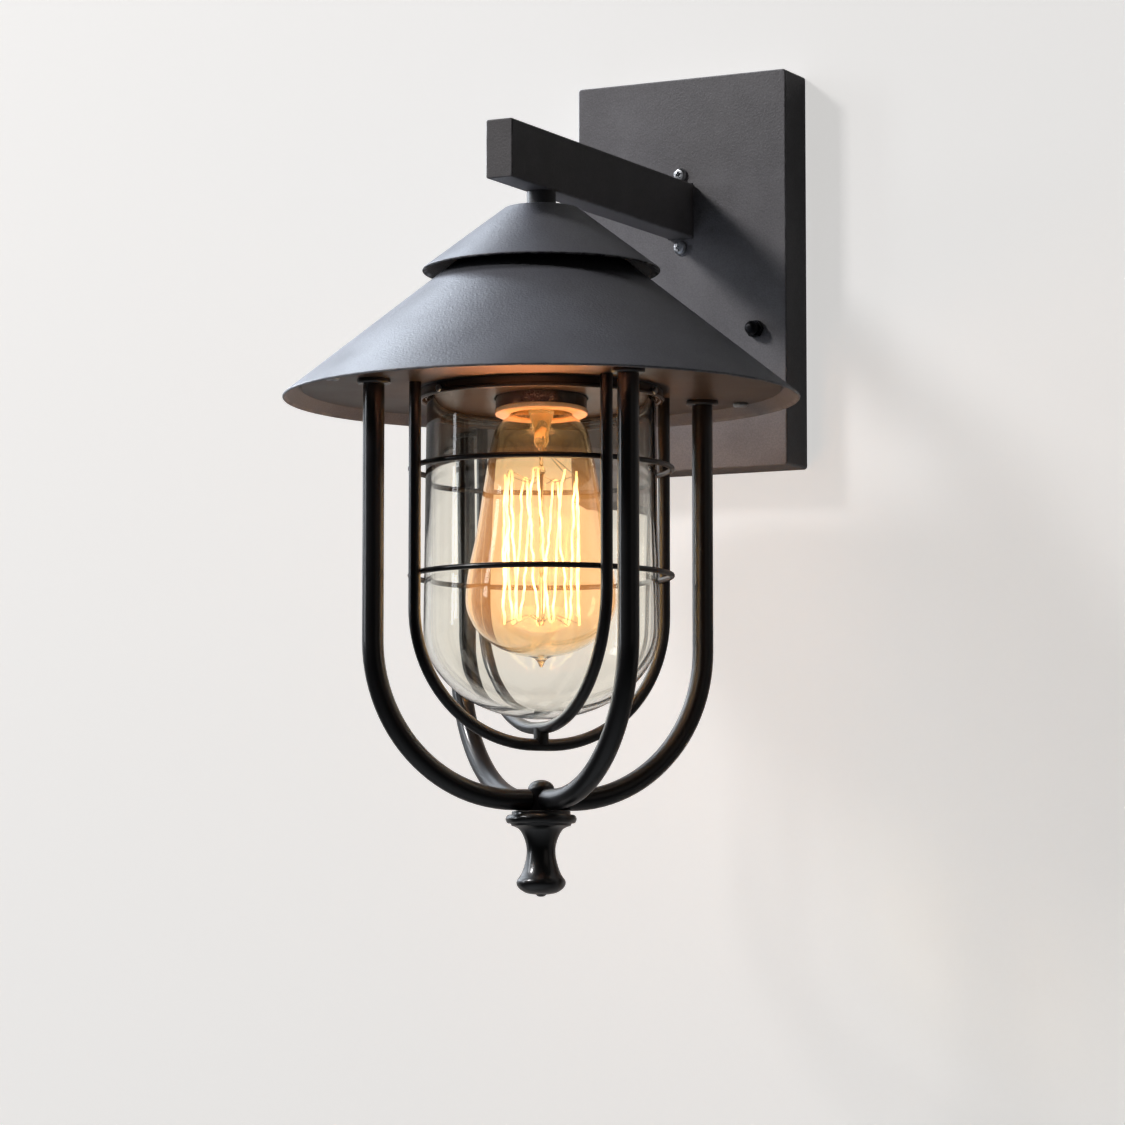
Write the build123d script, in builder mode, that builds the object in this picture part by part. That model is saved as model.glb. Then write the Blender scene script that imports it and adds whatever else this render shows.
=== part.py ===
from build123d import *
import os
from math import atan2, cos, radians, sin

# Wall lamp with a caged glass jar, in millimetres.
# X is to the right of someone who faces the wall, Y points into the wall, Z is up.
# The origin is the centre of the wall plate's back edge, on the wall.

os.makedirs("parts", exist_ok=True)

# Wall plate: a sheet-steel box, open at the back
PLATE_WIDTH = 105.0
PLATE_HEIGHT = 180.0
PLATE_DEPTH = 22.2
PLATE_SHEET = 1.5
PLATE_CORNER = 1.6
PLATE_EDGE = 0.8

# Bracket on the wall: a cross of strip steel with two slots, two studs and their cap nuts
BRACKET_STRIP = 20.0
BRACKET_SHEET = 2.0
BRACKET_CORNER = 3.0
UPRIGHT_LENGTH = 110.0
CROSSBAR_LENGTH = 90.0
CROSSBAR_Z = -27.8
SLOT_SPACING = 80.0
SLOT_LENGTH = 13.0
SLOT_WIDTH = 5.0
STUD_SPACING = 75.0
STUD_DIAMETER = 4.0
STUD_PROUD = 5.6
STUD_FIT = 0.05
CAP_NUT_FLATS = 7.0
CAP_NUT_HEX = 3.2
CAP_NUT_DOME = 6.2
CAP_NUT_FLAT = 0.6
CAP_NUT_HEIGHT = 7.4
CAP_NUT_LIFT = 0.1

# Arm: rectangular steel tube on a foot behind the plate's front
ARM_WIDTH = 12.5
ARM_HEIGHT = 25.0
ARM_WALL = 1.5
ARM_CORNER = 1.0
ARM_Z = 28.7
ARM_LENGTH = 174.4
ARM_OVERHANG = 38.2
END_CAP_SHEET = 1.6
END_CAP_EDGE = 0.6
END_CAP_LIP = 4.0
FOOT_WIDTH = 32.0
FOOT_HEIGHT = 42.2
FOOT_CORNER = 2.0
FOOT_SHEET = 2.5
FOOT_SCREW_CLEARANCE = 4.3
FOOT_SCREW_DIAMETER = 4.0
FOOT_SCREW_HEAD = 6.4
FOOT_SCREW_HEAD_HEIGHT = 2.2
FOOT_SCREW_ROUND = 1.4

# Neck and the hollow threaded tube that strings the lantern together
NECK_DIAMETER = 12.4
NECK_LENGTH = 7.1
NIPPLE_DIAMETER = 9.8
NIPPLE_BORE = 7.2
NIPPLE_LENGTH = 42.0
NIPPLE_TOP_GAP = 0.5
NIPPLE_NUT_FLATS = 14.0
NIPPLE_NUT_HEIGHT = 3.0

# Roof cap and shade: spun steel cones
SHEET = 1.2
SHOULDER_RADIUS = 2.5
ROOF_TOP_RADIUS = 15.5
ROOF_RADIUS = 50.9
ROOF_DROP = 26.9
SPACER_DIAMETER = 16.0
SPACER_LENGTH = 12.4
SHADE_TOP_RADIUS = 24.0
SHADE_RADIUS = 110.0
SHADE_DROP = 68.0

# Base plate: the flat disc that closes the shade and carries cage, jar and collar
BASE_RECESS = 3.4
BASE_SHEET = 1.2
BASE_EDGE_GAP = 0.4
BASE_SCREW_INSET = 4.7
BASE_SCREW_DIAMETER = 3.4
BASE_SCREW_LENGTH = 3.6
BASE_SCREW_HEAD = 6.4
BASE_SCREW_HEAD_HEIGHT = 1.8
BASE_SCREW_ROUND = 1.2
BOSS_DIAMETER = 7.0
BOSS_CUT = 21.0

# Glass jar with its collar, gasket and three set screws
JAR_RADIUS = 49.8
JAR_WALL = 3.0
JAR_LENGTH = 138.8
JAR_DOME = 38.0
JAR_GROOVE_DEPTH = 0.8
JAR_GROOVE_WIDTH = 2.4
JAR_LIP = 0.8
GASKET_SHEET = 1.0
COLLAR_FIT = 0.5
COLLAR_WALL = 1.6
COLLAR_HEIGHT = 4.8
COLLAR_EDGE = 0.5
SET_SCREW_DIAMETER = 2.0
SET_SCREW_HEAD = 3.0
SET_SCREW_HEAD_HEIGHT = 1.2
SET_SCREW_COUNT = 3
SET_SCREW_TURN = 3.0
SET_SCREW_TIP_GAP = 0.1

# Lampholder for an E27 lamp
HOLDER_RADIUS = 19.6
HOLDER_PROUD = 6.8
HOLDER_BODY = 38.0
HOLDER_FLOOR = 5.0
HOLDER_CAP_WALL = 2.2
HOLDER_CAP_SKIRT = 4.0
HOLDER_NOSE_RADIUS = 8.0
HOLDER_NOSE_LENGTH = 6.0
HOLDER_HOLE_GAP = 0.7
HOLDER_EDGE = 1.0
SHELL_SHEET = 0.4
SHELL_SET_BACK = 1.4
CONTACT_SHEET = 0.5
CONTACT_WIDTH = 6.0
CONTACT_REACH = 9.0

# Lamp: tapered clear glass with a squirrel-cage filament
CAP_RADIUS = 13.15
CAP_FIT = 0.10
CAP_LENGTH = 22.0
CAP_SHEET = 0.4
CAP_CONE = 2.6
CAP_TIP_RADIUS = 4.6
CAP_TIP_HEIGHT = 1.4
CONTACT_GAP = 0.25
GLASS_WALL = 0.8
GLASS_IN_CAP = 8.0
GLASS_FIT = 0.1
NECK_RUN = 5.0
SHOULDER_RUN = 9.5
SHOULDER_R = 20.0
FLANK_RUN = 41.0
FLANK_R = 26.9
BELLY_RUN = 33.0
BELLY_R = 32.0
BOTTOM_RUN = 25.0
STEM_FLARE = 11.4
STEM_TUBE = 4.2
STEM_RUN = 22.0
ROD_RADIUS = 1.5
FILAMENT_RADIUS = 16.0
FILAMENT_STRANDS = 14
FILAMENT_TOP_RUN = 33.0
FILAMENT_LENGTH = 66.0
FILAMENT_WIRE = 0.8
FILAMENT_SIDE_COUNT = 8
HOOK_WIRE = 0.6
HOOK_SIDE_COUNT = 6
LEAD_WIRE_DROP = 3.0
LEAD_WIRE_BEND = 3.0

# Cage: four bent bars outside, two crossed hoops and two rings inside
LANTERN_TURN = 9.7
BAR_COUNT = 4
BAR_DIAMETER = 9.0
BAR_BEND = 65.0
BAR_BELOW_HOOP = 23.2
BAR_THREAD = 6.0
FLANGE_DIAMETER = 14.0
FLANGE_SHEET = 2.0
FLANGE_EDGE = 0.6
BAR_NUT_FLATS = 10.0
BAR_NUT_HEIGHT = 5.0
HOOP_DIAMETER = 5.2
HOOP_BEND = 56.0
HOOP_JAR_GAP = 1.0
HOOP_CROSSING = 2.0
HOOP_THREAD = 4.0
HOOP_NUT_FLATS = 7.0
HOOP_NUT_HEIGHT = 3.2
RIVET_DIAMETER = 6.4
RING_WIRE = 2.4
RING_JAR_GAP = 4.35
UPPER_RING_DROP = 33.7
LOWER_RING_DROP = 79.1
THREAD_PAST_NUT = 1.0
WELD_GAP = 0.05
SCREW_FIT = 0.15
HEX_SIDE_COUNT = 6
QUARTER_TURN = 90.0
FULL_TURN = 360.0

# Hub and finial under the cage
HUB_RADIUS = 6.6
HUB_BOLT_DIAMETER = 5.0
HUB_BOLT_DOME = 4.0
HUB_BOLT_FLAT = 0.4
HUB_BOLT_IN_FINIAL = 11.0
FINIAL_GAP = 0.2
FINIAL_FIT = 0.05
FINIAL_STEP_R = 12.4
FINIAL_STEP = 1.4
FINIAL_DISC_R = 15.0
FINIAL_DISC = 4.8
FINIAL_DISC_WIDEST = 1.9
FINIAL_WAIST_R = 6.0
FINIAL_WAIST_DROP = 16.6
FINIAL_WAIST_LEAVES = (-1, -0.15)
FINIAL_WAIST_MEETS = (0.8, -1)
FINIAL_FLARE_R = 9.8
FINIAL_FLARE_DROP = 28.4
FINIAL_BEAD_R = 10.4
FINIAL_BEAD = 3.0
FINIAL_UNDER_R = 7.2
FINIAL_UNDER_DROP = 34.0
FINIAL_END_R = 2.2
FINIAL_END_DROP = 35.0
FINIAL_TIP = 0.9

# Electrical parts in the wall plate
BLOCK_WIDTH = 26.0
BLOCK_HEIGHT = 18.0
BLOCK_DEPTH = 11.0
BLOCK_Z = -9.0
BLOCK_POLES = 3
BLOCK_PITCH = 8.0
WIRE_HOLE = 4.2
CLAMP_SCREW = 3.0
CLAMP_SCREW_SUNK = 0.8
CLAMP_SET_BACK = 2.4
CLAMP_BORE = 3.2
EARTH_STUD_X = 30.0
EARTH_STUD_DIAMETER = 4.0
EARTH_STUD_LENGTH = 10.0
EARTH_NUT_FLATS = 7.0
EARTH_NUT_HEIGHT = 3.2
LEAD_DIAMETER = 4.0
LEAD_BEND = 8.0

# Places worked out from the sizes
PLATE_INNER_Y = PLATE_SHEET - PLATE_DEPTH
FOOT_BACK_Y = PLATE_INNER_Y + FOOT_SHEET
ARM_END_Y = -PLATE_DEPTH - ARM_LENGTH
LAMP_Y = ARM_END_Y + ARM_OVERHANG
ARM_BOTTOM_Z = ARM_Z - ARM_HEIGHT / 2
FOOT_SCREW_SPACING = (ARM_HEIGHT + FOOT_HEIGHT) / 2
ROOF_TOP_Z = ARM_BOTTOM_Z - NECK_LENGTH
ROOF_RIM_Z = ROOF_TOP_Z - ROOF_DROP
SHADE_TOP_Z = ROOF_TOP_Z - SHEET - SPACER_LENGTH
SHADE_RIM_Z = SHADE_TOP_Z - SHADE_DROP
SHADE_ANGLE = atan2(SHADE_DROP, SHADE_RADIUS - SHADE_TOP_RADIUS)
SHADE_FALL = SHADE_DROP / (SHADE_RADIUS - SHADE_TOP_RADIUS)
SHEET_ACROSS = SHEET / sin(SHADE_ANGLE)
SHEET_UPRIGHT = SHEET / cos(SHADE_ANGLE)
BASE_UNDER_Z = SHADE_RIM_Z + BASE_RECESS
BASE_TOP_Z = BASE_UNDER_Z + BASE_SHEET
BASE_RADIUS = SHADE_RADIUS - (BASE_TOP_Z - SHADE_RIM_Z) / SHADE_FALL - SHEET_ACROSS - BASE_EDGE_GAP
BASE_SCREW_RADIUS = BASE_RADIUS - BASE_SCREW_INSET
RING_RADIUS = JAR_RADIUS + RING_JAR_GAP + RING_WIRE / 2
HOOP_RADIUS = RING_RADIUS + RING_WIRE / 2 + WELD_GAP + HOOP_DIAMETER / 2
BAR_RADIUS = (HOOP_RADIUS + BASE_SCREW_RADIUS) / 2
JAR_TOP_Z = BASE_UNDER_Z - GASKET_SHEET
JAR_BOTTOM_Z = JAR_TOP_Z - JAR_LENGTH
JAR_DOME_Z = JAR_BOTTOM_Z + JAR_DOME
COLLAR_BORE = JAR_RADIUS + COLLAR_FIT
COLLAR_RADIUS = COLLAR_BORE + COLLAR_WALL
SET_SCREW_Z = JAR_TOP_Z - JAR_LIP - JAR_GROOVE_WIDTH / 2
HOLDER_BOTTOM_Z = BASE_UNDER_Z - HOLDER_PROUD
HOLDER_BODY_Z = HOLDER_BOTTOM_Z + HOLDER_BODY
HOLDER_FLOOR_Z = HOLDER_BODY_Z - HOLDER_FLOOR
NIPPLE_TOP_Z = ARM_BOTTOM_Z - NIPPLE_TOP_GAP
NIPPLE_END_Z = NIPPLE_TOP_Z - NIPPLE_LENGTH
HOLDER_NOSE_Z = NIPPLE_END_Z + HOLDER_NOSE_LENGTH
SHELL_BORE = CAP_RADIUS + CAP_FIT
HOLDER_BORE = SHELL_BORE + SHELL_SHEET + WELD_GAP
BULB_TIP_Z = HOLDER_FLOOR_Z - CONTACT_SHEET - CONTACT_GAP
CAP_TOP_Z = BULB_TIP_Z - CAP_TIP_HEIGHT - CAP_CONE
CAP_END_Z = CAP_TOP_Z - CAP_LENGTH
GLASS_NECK_R = CAP_RADIUS - CAP_SHEET - GLASS_FIT
SHOULDER_TOP_Z = CAP_END_Z - NECK_RUN
SHOULDER_Z = SHOULDER_TOP_Z - SHOULDER_RUN
FLANK_Z = SHOULDER_Z - FLANK_RUN
BELLY_Z = FLANK_Z - BELLY_RUN
BULB_BOTTOM_Z = BELLY_Z - BOTTOM_RUN
STEM_END_Z = CAP_END_Z - STEM_RUN
FILAMENT_TOP_Z = CAP_END_Z - FILAMENT_TOP_RUN
FILAMENT_LOW_Z = FILAMENT_TOP_Z - FILAMENT_LENGTH
HOOP_HIGH_Z = JAR_BOTTOM_Z - HOOP_JAR_GAP - HOOP_DIAMETER / 2
HOOP_LOW_Z = HOOP_HIGH_Z - HOOP_DIAMETER - HOOP_CROSSING
BAR_LOW_Z = HOOP_LOW_Z - BAR_BELOW_HOOP
BAR_TOP_Z = BASE_UNDER_Z - FLANGE_SHEET
HUB_TOP_Z = BAR_LOW_Z + BAR_DIAMETER / 2
HUB_UNDER_Z = BAR_LOW_Z - BAR_DIAMETER / 2
FINIAL_TOP_Z = HUB_UNDER_Z - FINIAL_GAP
BLOCK_WIRE_Y = PLATE_INNER_Y + BLOCK_DEPTH / 2
BLOCK_TOP_Z = BLOCK_Z + BLOCK_HEIGHT / 2

LAMP_AXIS = Axis((0, LAMP_Y, 0), (0, 0, 1))
FIRST_BAR = QUARTER_TURN / 2 + LANTERN_TURN
BAR_NAMES = ["back_right", "back_left", "front_left", "front_right"]


def upright(angle):
    """Vertical plane through the lantern's axis: local x runs outwards, local y is height."""
    turn = radians(angle)
    return Plane(
        origin=(0, LAMP_Y, 0), x_dir=(cos(turn), sin(turn), 0), z_dir=(sin(turn), -cos(turn), 0)
    )


def level(z):
    """Horizontal plane at a height, centred on the lantern's axis."""
    return Plane(origin=(0, LAMP_Y, z))


def outward(angle, radius, z):
    """Plane across a radius of the lantern, facing outwards."""
    turn = radians(angle)
    return Plane(
        origin=(radius * cos(turn), LAMP_Y + radius * sin(turn), z),
        x_dir=(0, 0, 1),
        z_dir=(cos(turn), sin(turn), 0),
    )


def spun_cone(top_radius, top_z, rim_radius, rim_z):
    """Half-section of a spun sheet: a flat top on the threaded tube, a round shoulder and a cone."""
    with BuildSketch(upright(0)) as section:
        with BuildLine():
            skin = FilletPolyline(
                (NIPPLE_DIAMETER / 2 + SCREW_FIT, top_z),
                (top_radius, top_z),
                (rim_radius, rim_z),
                radius=SHOULDER_RADIUS,
            )
            offset(skin, amount=SHEET, side=Side.RIGHT, closed=True)
        make_face()
    return section.sketch


# Wall plate
with BuildPart() as wall_plate:
    with BuildSketch(Plane.XZ):
        RectangleRounded(PLATE_WIDTH, PLATE_HEIGHT, PLATE_CORNER)
    extrude(amount=PLATE_DEPTH)
    fillet(wall_plate.faces().sort_by(Axis.Y)[0].edges(), PLATE_EDGE)
    with BuildSketch(Plane.XZ):
        Rectangle(PLATE_WIDTH - 2 * PLATE_SHEET, PLATE_HEIGHT - 2 * PLATE_SHEET)
    extrude(amount=PLATE_DEPTH - PLATE_SHEET, mode=Mode.SUBTRACT)
    with BuildSketch(Plane.XZ):
        with Locations((0, ARM_Z)):
            Rectangle(ARM_WIDTH + 2 * SCREW_FIT, ARM_HEIGHT + 2 * SCREW_FIT)
            with GridLocations(0, FOOT_SCREW_SPACING, 1, 2):
                Circle(FOOT_SCREW_CLEARANCE / 2)
        with Locations((0, CROSSBAR_Z)):
            with GridLocations(STUD_SPACING, 0, 2, 1):
                Circle(STUD_DIAMETER / 2 + SCREW_FIT)
    extrude(amount=PLATE_DEPTH, mode=Mode.SUBTRACT)
wall_plate.part.label = "wall_plate"
export_step(wall_plate.part, "parts/wall_plate.step")

# Wall bracket: the wall screws go through the upright's slots, the studs stand on the crossbar
with BuildPart() as wall_bracket:
    with BuildSketch(Plane.XZ):
        RectangleRounded(BRACKET_STRIP, UPRIGHT_LENGTH, BRACKET_CORNER)
        with Locations((0, CROSSBAR_Z)):
            RectangleRounded(CROSSBAR_LENGTH, BRACKET_STRIP, BRACKET_CORNER)
        with GridLocations(0, SLOT_SPACING, 1, 2):
            SlotOverall(SLOT_LENGTH, SLOT_WIDTH, rotation=QUARTER_TURN, mode=Mode.SUBTRACT)
        with Locations((0, CROSSBAR_Z)):
            with GridLocations(STUD_SPACING, 0, 2, 1):
                Circle(STUD_DIAMETER / 2 + STUD_FIT, mode=Mode.SUBTRACT)
    extrude(amount=BRACKET_SHEET)
wall_bracket.part.label = "wall_bracket"
export_step(wall_bracket.part, "parts/wall_bracket.step")

# Studs pressed into the crossbar
with BuildPart() as cover_studs:
    with BuildSketch(Plane.XZ):
        with Locations((0, CROSSBAR_Z)):
            with GridLocations(STUD_SPACING, 0, 2, 1):
                Circle(STUD_DIAMETER / 2)
    extrude(amount=PLATE_DEPTH + STUD_PROUD)
cover_studs.part.label = "cover_studs"
export_step(cover_studs.part, "parts/cover_studs.step")

# Cap nuts that hold the plate on the studs
for side, name in ((-1, "cap_nut_left"), (1, "cap_nut_right")):
    nut_plane = Plane(
        origin=(side * STUD_SPACING / 2, -PLATE_DEPTH - CAP_NUT_LIFT, CROSSBAR_Z),
        x_dir=(1, 0, 0),
        z_dir=(0, -1, 0),
    )
    with BuildPart() as cap_nut:
        with BuildSketch(nut_plane):
            RegularPolygon(CAP_NUT_FLATS / 2, HEX_SIDE_COUNT, major_radius=False)
        extrude(amount=CAP_NUT_HEX)
        with BuildSketch(nut_plane):
            Circle(CAP_NUT_DOME / 2)
        extrude(amount=CAP_NUT_HEIGHT)
        fillet(cap_nut.faces().sort_by(Axis.Y)[0].edges(), CAP_NUT_DOME / 2 - CAP_NUT_FLAT)
        with BuildSketch(nut_plane):
            Circle(STUD_DIAMETER / 2 + STUD_FIT)
        extrude(amount=STUD_PROUD, mode=Mode.SUBTRACT)
    cap_nut.part.label = name
    export_step(cap_nut.part, f"parts/{name}.step")

# Arm foot: welded round the tube, behind the plate's front
with BuildPart() as arm_foot:
    with BuildSketch(Plane.XZ.offset(-FOOT_BACK_Y)):
        with Locations((0, ARM_Z)):
            RectangleRounded(FOOT_WIDTH, FOOT_HEIGHT, FOOT_CORNER)
            Rectangle(ARM_WIDTH + 2 * WELD_GAP, ARM_HEIGHT + 2 * WELD_GAP, mode=Mode.SUBTRACT)
            with GridLocations(0, FOOT_SCREW_SPACING, 1, 2):
                Circle(FOOT_SCREW_DIAMETER / 2 + STUD_FIT, mode=Mode.SUBTRACT)
    extrude(amount=FOOT_SHEET)
arm_foot.part.label = "arm_foot"
export_step(arm_foot.part, "parts/arm_foot.step")

# Screws that pull the foot against the plate
with BuildPart() as arm_foot_screws:
    with BuildSketch(Plane.XZ.offset(PLATE_DEPTH)):
        with Locations((0, ARM_Z)):
            with GridLocations(0, FOOT_SCREW_SPACING, 1, 2):
                Circle(FOOT_SCREW_HEAD / 2)
    extrude(amount=FOOT_SCREW_HEAD_HEIGHT)
    fillet(arm_foot_screws.faces().group_by(Axis.Y)[0].edges(), FOOT_SCREW_ROUND)
    with BuildSketch(Plane.XZ.offset(PLATE_DEPTH)):
        with Locations((0, ARM_Z)):
            with GridLocations(0, FOOT_SCREW_SPACING, 1, 2):
                Circle(FOOT_SCREW_DIAMETER / 2)
    extrude(amount=-(PLATE_SHEET + FOOT_SHEET + THREAD_PAST_NUT))
arm_foot_screws.part.label = "arm_foot_screws"
export_step(arm_foot_screws.part, "parts/arm_foot_screws.step")

# Arm tube
with BuildPart() as arm_tube:
    with BuildSketch(Plane.XZ.offset(-FOOT_BACK_Y)):
        with Locations((0, ARM_Z)):
            RectangleRounded(ARM_WIDTH, ARM_HEIGHT, ARM_CORNER)
            Rectangle(ARM_WIDTH - 2 * ARM_WALL, ARM_HEIGHT - 2 * ARM_WALL, mode=Mode.SUBTRACT)
    extrude(amount=FOOT_BACK_Y - ARM_END_Y - END_CAP_SHEET)
    with BuildSketch(level(ARM_BOTTOM_Z)):
        Circle(NIPPLE_BORE / 2)
    extrude(amount=ARM_WALL, mode=Mode.SUBTRACT)
arm_tube.part.label = "arm_tube"
export_step(arm_tube.part, "parts/arm_tube.step")

# End cap: a welded plate with a lip inside the tube
with BuildPart() as arm_end_cap:
    with BuildSketch(Plane.XZ.offset(-ARM_END_Y - END_CAP_SHEET)):
        with Locations((0, ARM_Z)):
            RectangleRounded(ARM_WIDTH, ARM_HEIGHT, ARM_CORNER)
    extrude(amount=END_CAP_SHEET)
    fillet(arm_end_cap.faces().sort_by(Axis.Y)[0].edges(), END_CAP_EDGE)
    with BuildSketch(Plane.XZ.offset(-ARM_END_Y - END_CAP_SHEET)):
        with Locations((0, ARM_Z)):
            Rectangle(
                ARM_WIDTH - 2 * ARM_WALL - 2 * SCREW_FIT, ARM_HEIGHT - 2 * ARM_WALL - 2 * SCREW_FIT
            )
    extrude(amount=-END_CAP_LIP)
arm_end_cap.part.label = "arm_end_cap"
export_step(arm_end_cap.part, "parts/arm_end_cap.step")

# Neck: a threaded boss welded under the arm
with BuildPart() as neck:
    with BuildSketch(level(ROOF_TOP_Z)):
        Circle(NECK_DIAMETER / 2)
        Circle(NIPPLE_DIAMETER / 2 + STUD_FIT, mode=Mode.SUBTRACT)
    extrude(amount=NECK_LENGTH)
neck.part.label = "neck"
export_step(neck.part, "parts/neck.step")

# Hollow threaded tube through roof cap, spacer and shade to the lampholder
with BuildPart() as threaded_tube:
    with BuildSketch(level(NIPPLE_END_Z)):
        Circle(NIPPLE_DIAMETER / 2)
        Circle(NIPPLE_BORE / 2, mode=Mode.SUBTRACT)
    extrude(amount=NIPPLE_LENGTH)
threaded_tube.part.label = "threaded_tube"
export_step(threaded_tube.part, "parts/threaded_tube.step")

# Nut that clamps the shade against the spacer
with BuildPart() as tube_nut:
    with BuildSketch(level(SHADE_TOP_Z - SHEET - NIPPLE_NUT_HEIGHT)):
        RegularPolygon(NIPPLE_NUT_FLATS / 2, HEX_SIDE_COUNT, major_radius=False)
        Circle(NIPPLE_DIAMETER / 2 + STUD_FIT, mode=Mode.SUBTRACT)
    extrude(amount=NIPPLE_NUT_HEIGHT)
tube_nut.part.label = "tube_nut"
export_step(tube_nut.part, "parts/tube_nut.step")

# Roof cap
with BuildPart() as roof_cap:
    revolve(spun_cone(ROOF_TOP_RADIUS, ROOF_TOP_Z, ROOF_RADIUS, ROOF_RIM_Z), axis=LAMP_AXIS)
roof_cap.part.label = "roof_cap"
export_step(roof_cap.part, "parts/roof_cap.step")

# Spacer between roof cap and shade, which leaves the air gap under the cap
with BuildPart() as roof_spacer:
    with BuildSketch(level(SHADE_TOP_Z)):
        Circle(SPACER_DIAMETER / 2)
        Circle(NIPPLE_DIAMETER / 2 + SCREW_FIT, mode=Mode.SUBTRACT)
    extrude(amount=SPACER_LENGTH)
roof_spacer.part.label = "roof_spacer"
export_step(roof_spacer.part, "parts/roof_spacer.step")

# Shade
with BuildPart() as shade:
    revolve(spun_cone(SHADE_TOP_RADIUS, SHADE_TOP_Z, SHADE_RADIUS, SHADE_RIM_Z), axis=LAMP_AXIS)
shade.part.label = "shade"
export_step(shade.part, "parts/shade.step")

# Threaded bosses welded inside the shade, cut to its slope
boss_top = SHADE_RIM_Z + (SHADE_RADIUS - BASE_SCREW_RADIUS) * SHADE_FALL - SHEET_UPRIGHT
with BuildPart() as shade_bosses:
    with BuildSketch(level(BASE_TOP_Z)):
        with PolarLocations(BASE_SCREW_RADIUS, BAR_COUNT, start_angle=FIRST_BAR):
            Circle(BOSS_DIAMETER / 2)
            Circle(BASE_SCREW_DIAMETER / 2 + STUD_FIT, mode=Mode.SUBTRACT)
    extrude(amount=boss_top - BASE_TOP_Z + BOSS_DIAMETER)
    with BuildSketch(upright(0)):
        slope = BOSS_DIAMETER * SHADE_FALL
        Polygon(
            (BASE_SCREW_RADIUS - BOSS_DIAMETER, boss_top + slope),
            (BASE_SCREW_RADIUS + BOSS_DIAMETER, boss_top - slope),
            (BASE_SCREW_RADIUS + BOSS_DIAMETER, boss_top + BOSS_CUT),
            (BASE_SCREW_RADIUS - BOSS_DIAMETER, boss_top + BOSS_CUT),
            align=None,
        )
    revolve(axis=LAMP_AXIS, mode=Mode.SUBTRACT)
shade_bosses.part.label = "shade_bosses"
export_step(shade_bosses.part, "parts/shade_bosses.step")

# Base plate
with BuildPart() as base_plate:
    with BuildSketch(level(BASE_UNDER_Z)):
        Circle(BASE_RADIUS)
        Circle(HOLDER_RADIUS + HOLDER_HOLE_GAP, mode=Mode.SUBTRACT)
        with PolarLocations(BASE_SCREW_RADIUS, BAR_COUNT, start_angle=FIRST_BAR):
            Circle(BASE_SCREW_DIAMETER / 2 + SCREW_FIT, mode=Mode.SUBTRACT)
        with PolarLocations(BAR_RADIUS, BAR_COUNT, start_angle=FIRST_BAR):
            Circle(BAR_THREAD / 2 + SCREW_FIT, mode=Mode.SUBTRACT)
        with PolarLocations(HOOP_RADIUS, BAR_COUNT, start_angle=FIRST_BAR):
            Circle(HOOP_THREAD / 2 + SCREW_FIT, mode=Mode.SUBTRACT)
    extrude(amount=BASE_SHEET)
base_plate.part.label = "base_plate"
export_step(base_plate.part, "parts/base_plate.step")

# Screws that hold the base plate to the shade
with BuildPart() as base_screws:
    with BuildSketch(level(BASE_UNDER_Z)):
        with PolarLocations(BASE_SCREW_RADIUS, BAR_COUNT, start_angle=FIRST_BAR):
            Circle(BASE_SCREW_HEAD / 2)
    extrude(amount=-BASE_SCREW_HEAD_HEIGHT)
    fillet(base_screws.faces().group_by(Axis.Z)[0].edges(), BASE_SCREW_ROUND)
    with BuildSketch(level(BASE_UNDER_Z)):
        with PolarLocations(BASE_SCREW_RADIUS, BAR_COUNT, start_angle=FIRST_BAR):
            Circle(BASE_SCREW_DIAMETER / 2)
    extrude(amount=BASE_SCREW_LENGTH)
base_screws.part.label = "base_screws"
export_step(base_screws.part, "parts/base_screws.step")

# Collar welded under the base plate, round the jar's mouth, with holes for its set screws
with BuildPart() as jar_collar:
    with BuildSketch(level(BASE_UNDER_Z - COLLAR_HEIGHT)):
        Circle(COLLAR_RADIUS)
        Circle(COLLAR_BORE, mode=Mode.SUBTRACT)
    extrude(amount=COLLAR_HEIGHT)
    fillet(jar_collar.faces().sort_by(Axis.Z)[0].edges(), COLLAR_EDGE)
    for count in range(SET_SCREW_COUNT):
        angle = SET_SCREW_TURN + count * FULL_TURN / SET_SCREW_COUNT
        with BuildSketch(outward(angle, JAR_RADIUS, SET_SCREW_Z)):
            Circle(SET_SCREW_DIAMETER / 2 + STUD_FIT)
        extrude(amount=2 * COLLAR_WALL + COLLAR_FIT, mode=Mode.SUBTRACT)
jar_collar.part.label = "jar_collar"
export_step(jar_collar.part, "parts/jar_collar.step")

# Set screws whose tips stand in the jar's groove
with BuildPart() as set_screws:
    for count in range(SET_SCREW_COUNT):
        angle = SET_SCREW_TURN + count * FULL_TURN / SET_SCREW_COUNT
        tip_radius = JAR_RADIUS - JAR_GROOVE_DEPTH + SET_SCREW_TIP_GAP
        with BuildSketch(outward(angle, tip_radius, SET_SCREW_Z)):
            Circle(SET_SCREW_DIAMETER / 2)
        extrude(amount=COLLAR_RADIUS - tip_radius + SET_SCREW_TIP_GAP)
        with BuildSketch(outward(angle, COLLAR_RADIUS + SET_SCREW_TIP_GAP, SET_SCREW_Z)):
            Circle(SET_SCREW_HEAD / 2)
        extrude(amount=SET_SCREW_HEAD_HEIGHT)
set_screws.part.label = "set_screws"
export_step(set_screws.part, "parts/set_screws.step")

# Rubber gasket between jar and base plate
with BuildPart() as jar_gasket:
    with BuildSketch(level(JAR_TOP_Z)):
        Circle(JAR_RADIUS)
        Circle(JAR_RADIUS - JAR_WALL, mode=Mode.SUBTRACT)
    extrude(amount=GASKET_SHEET)
jar_gasket.part.label = "jar_gasket"
export_step(jar_gasket.part, "parts/jar_gasket.step")

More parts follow.
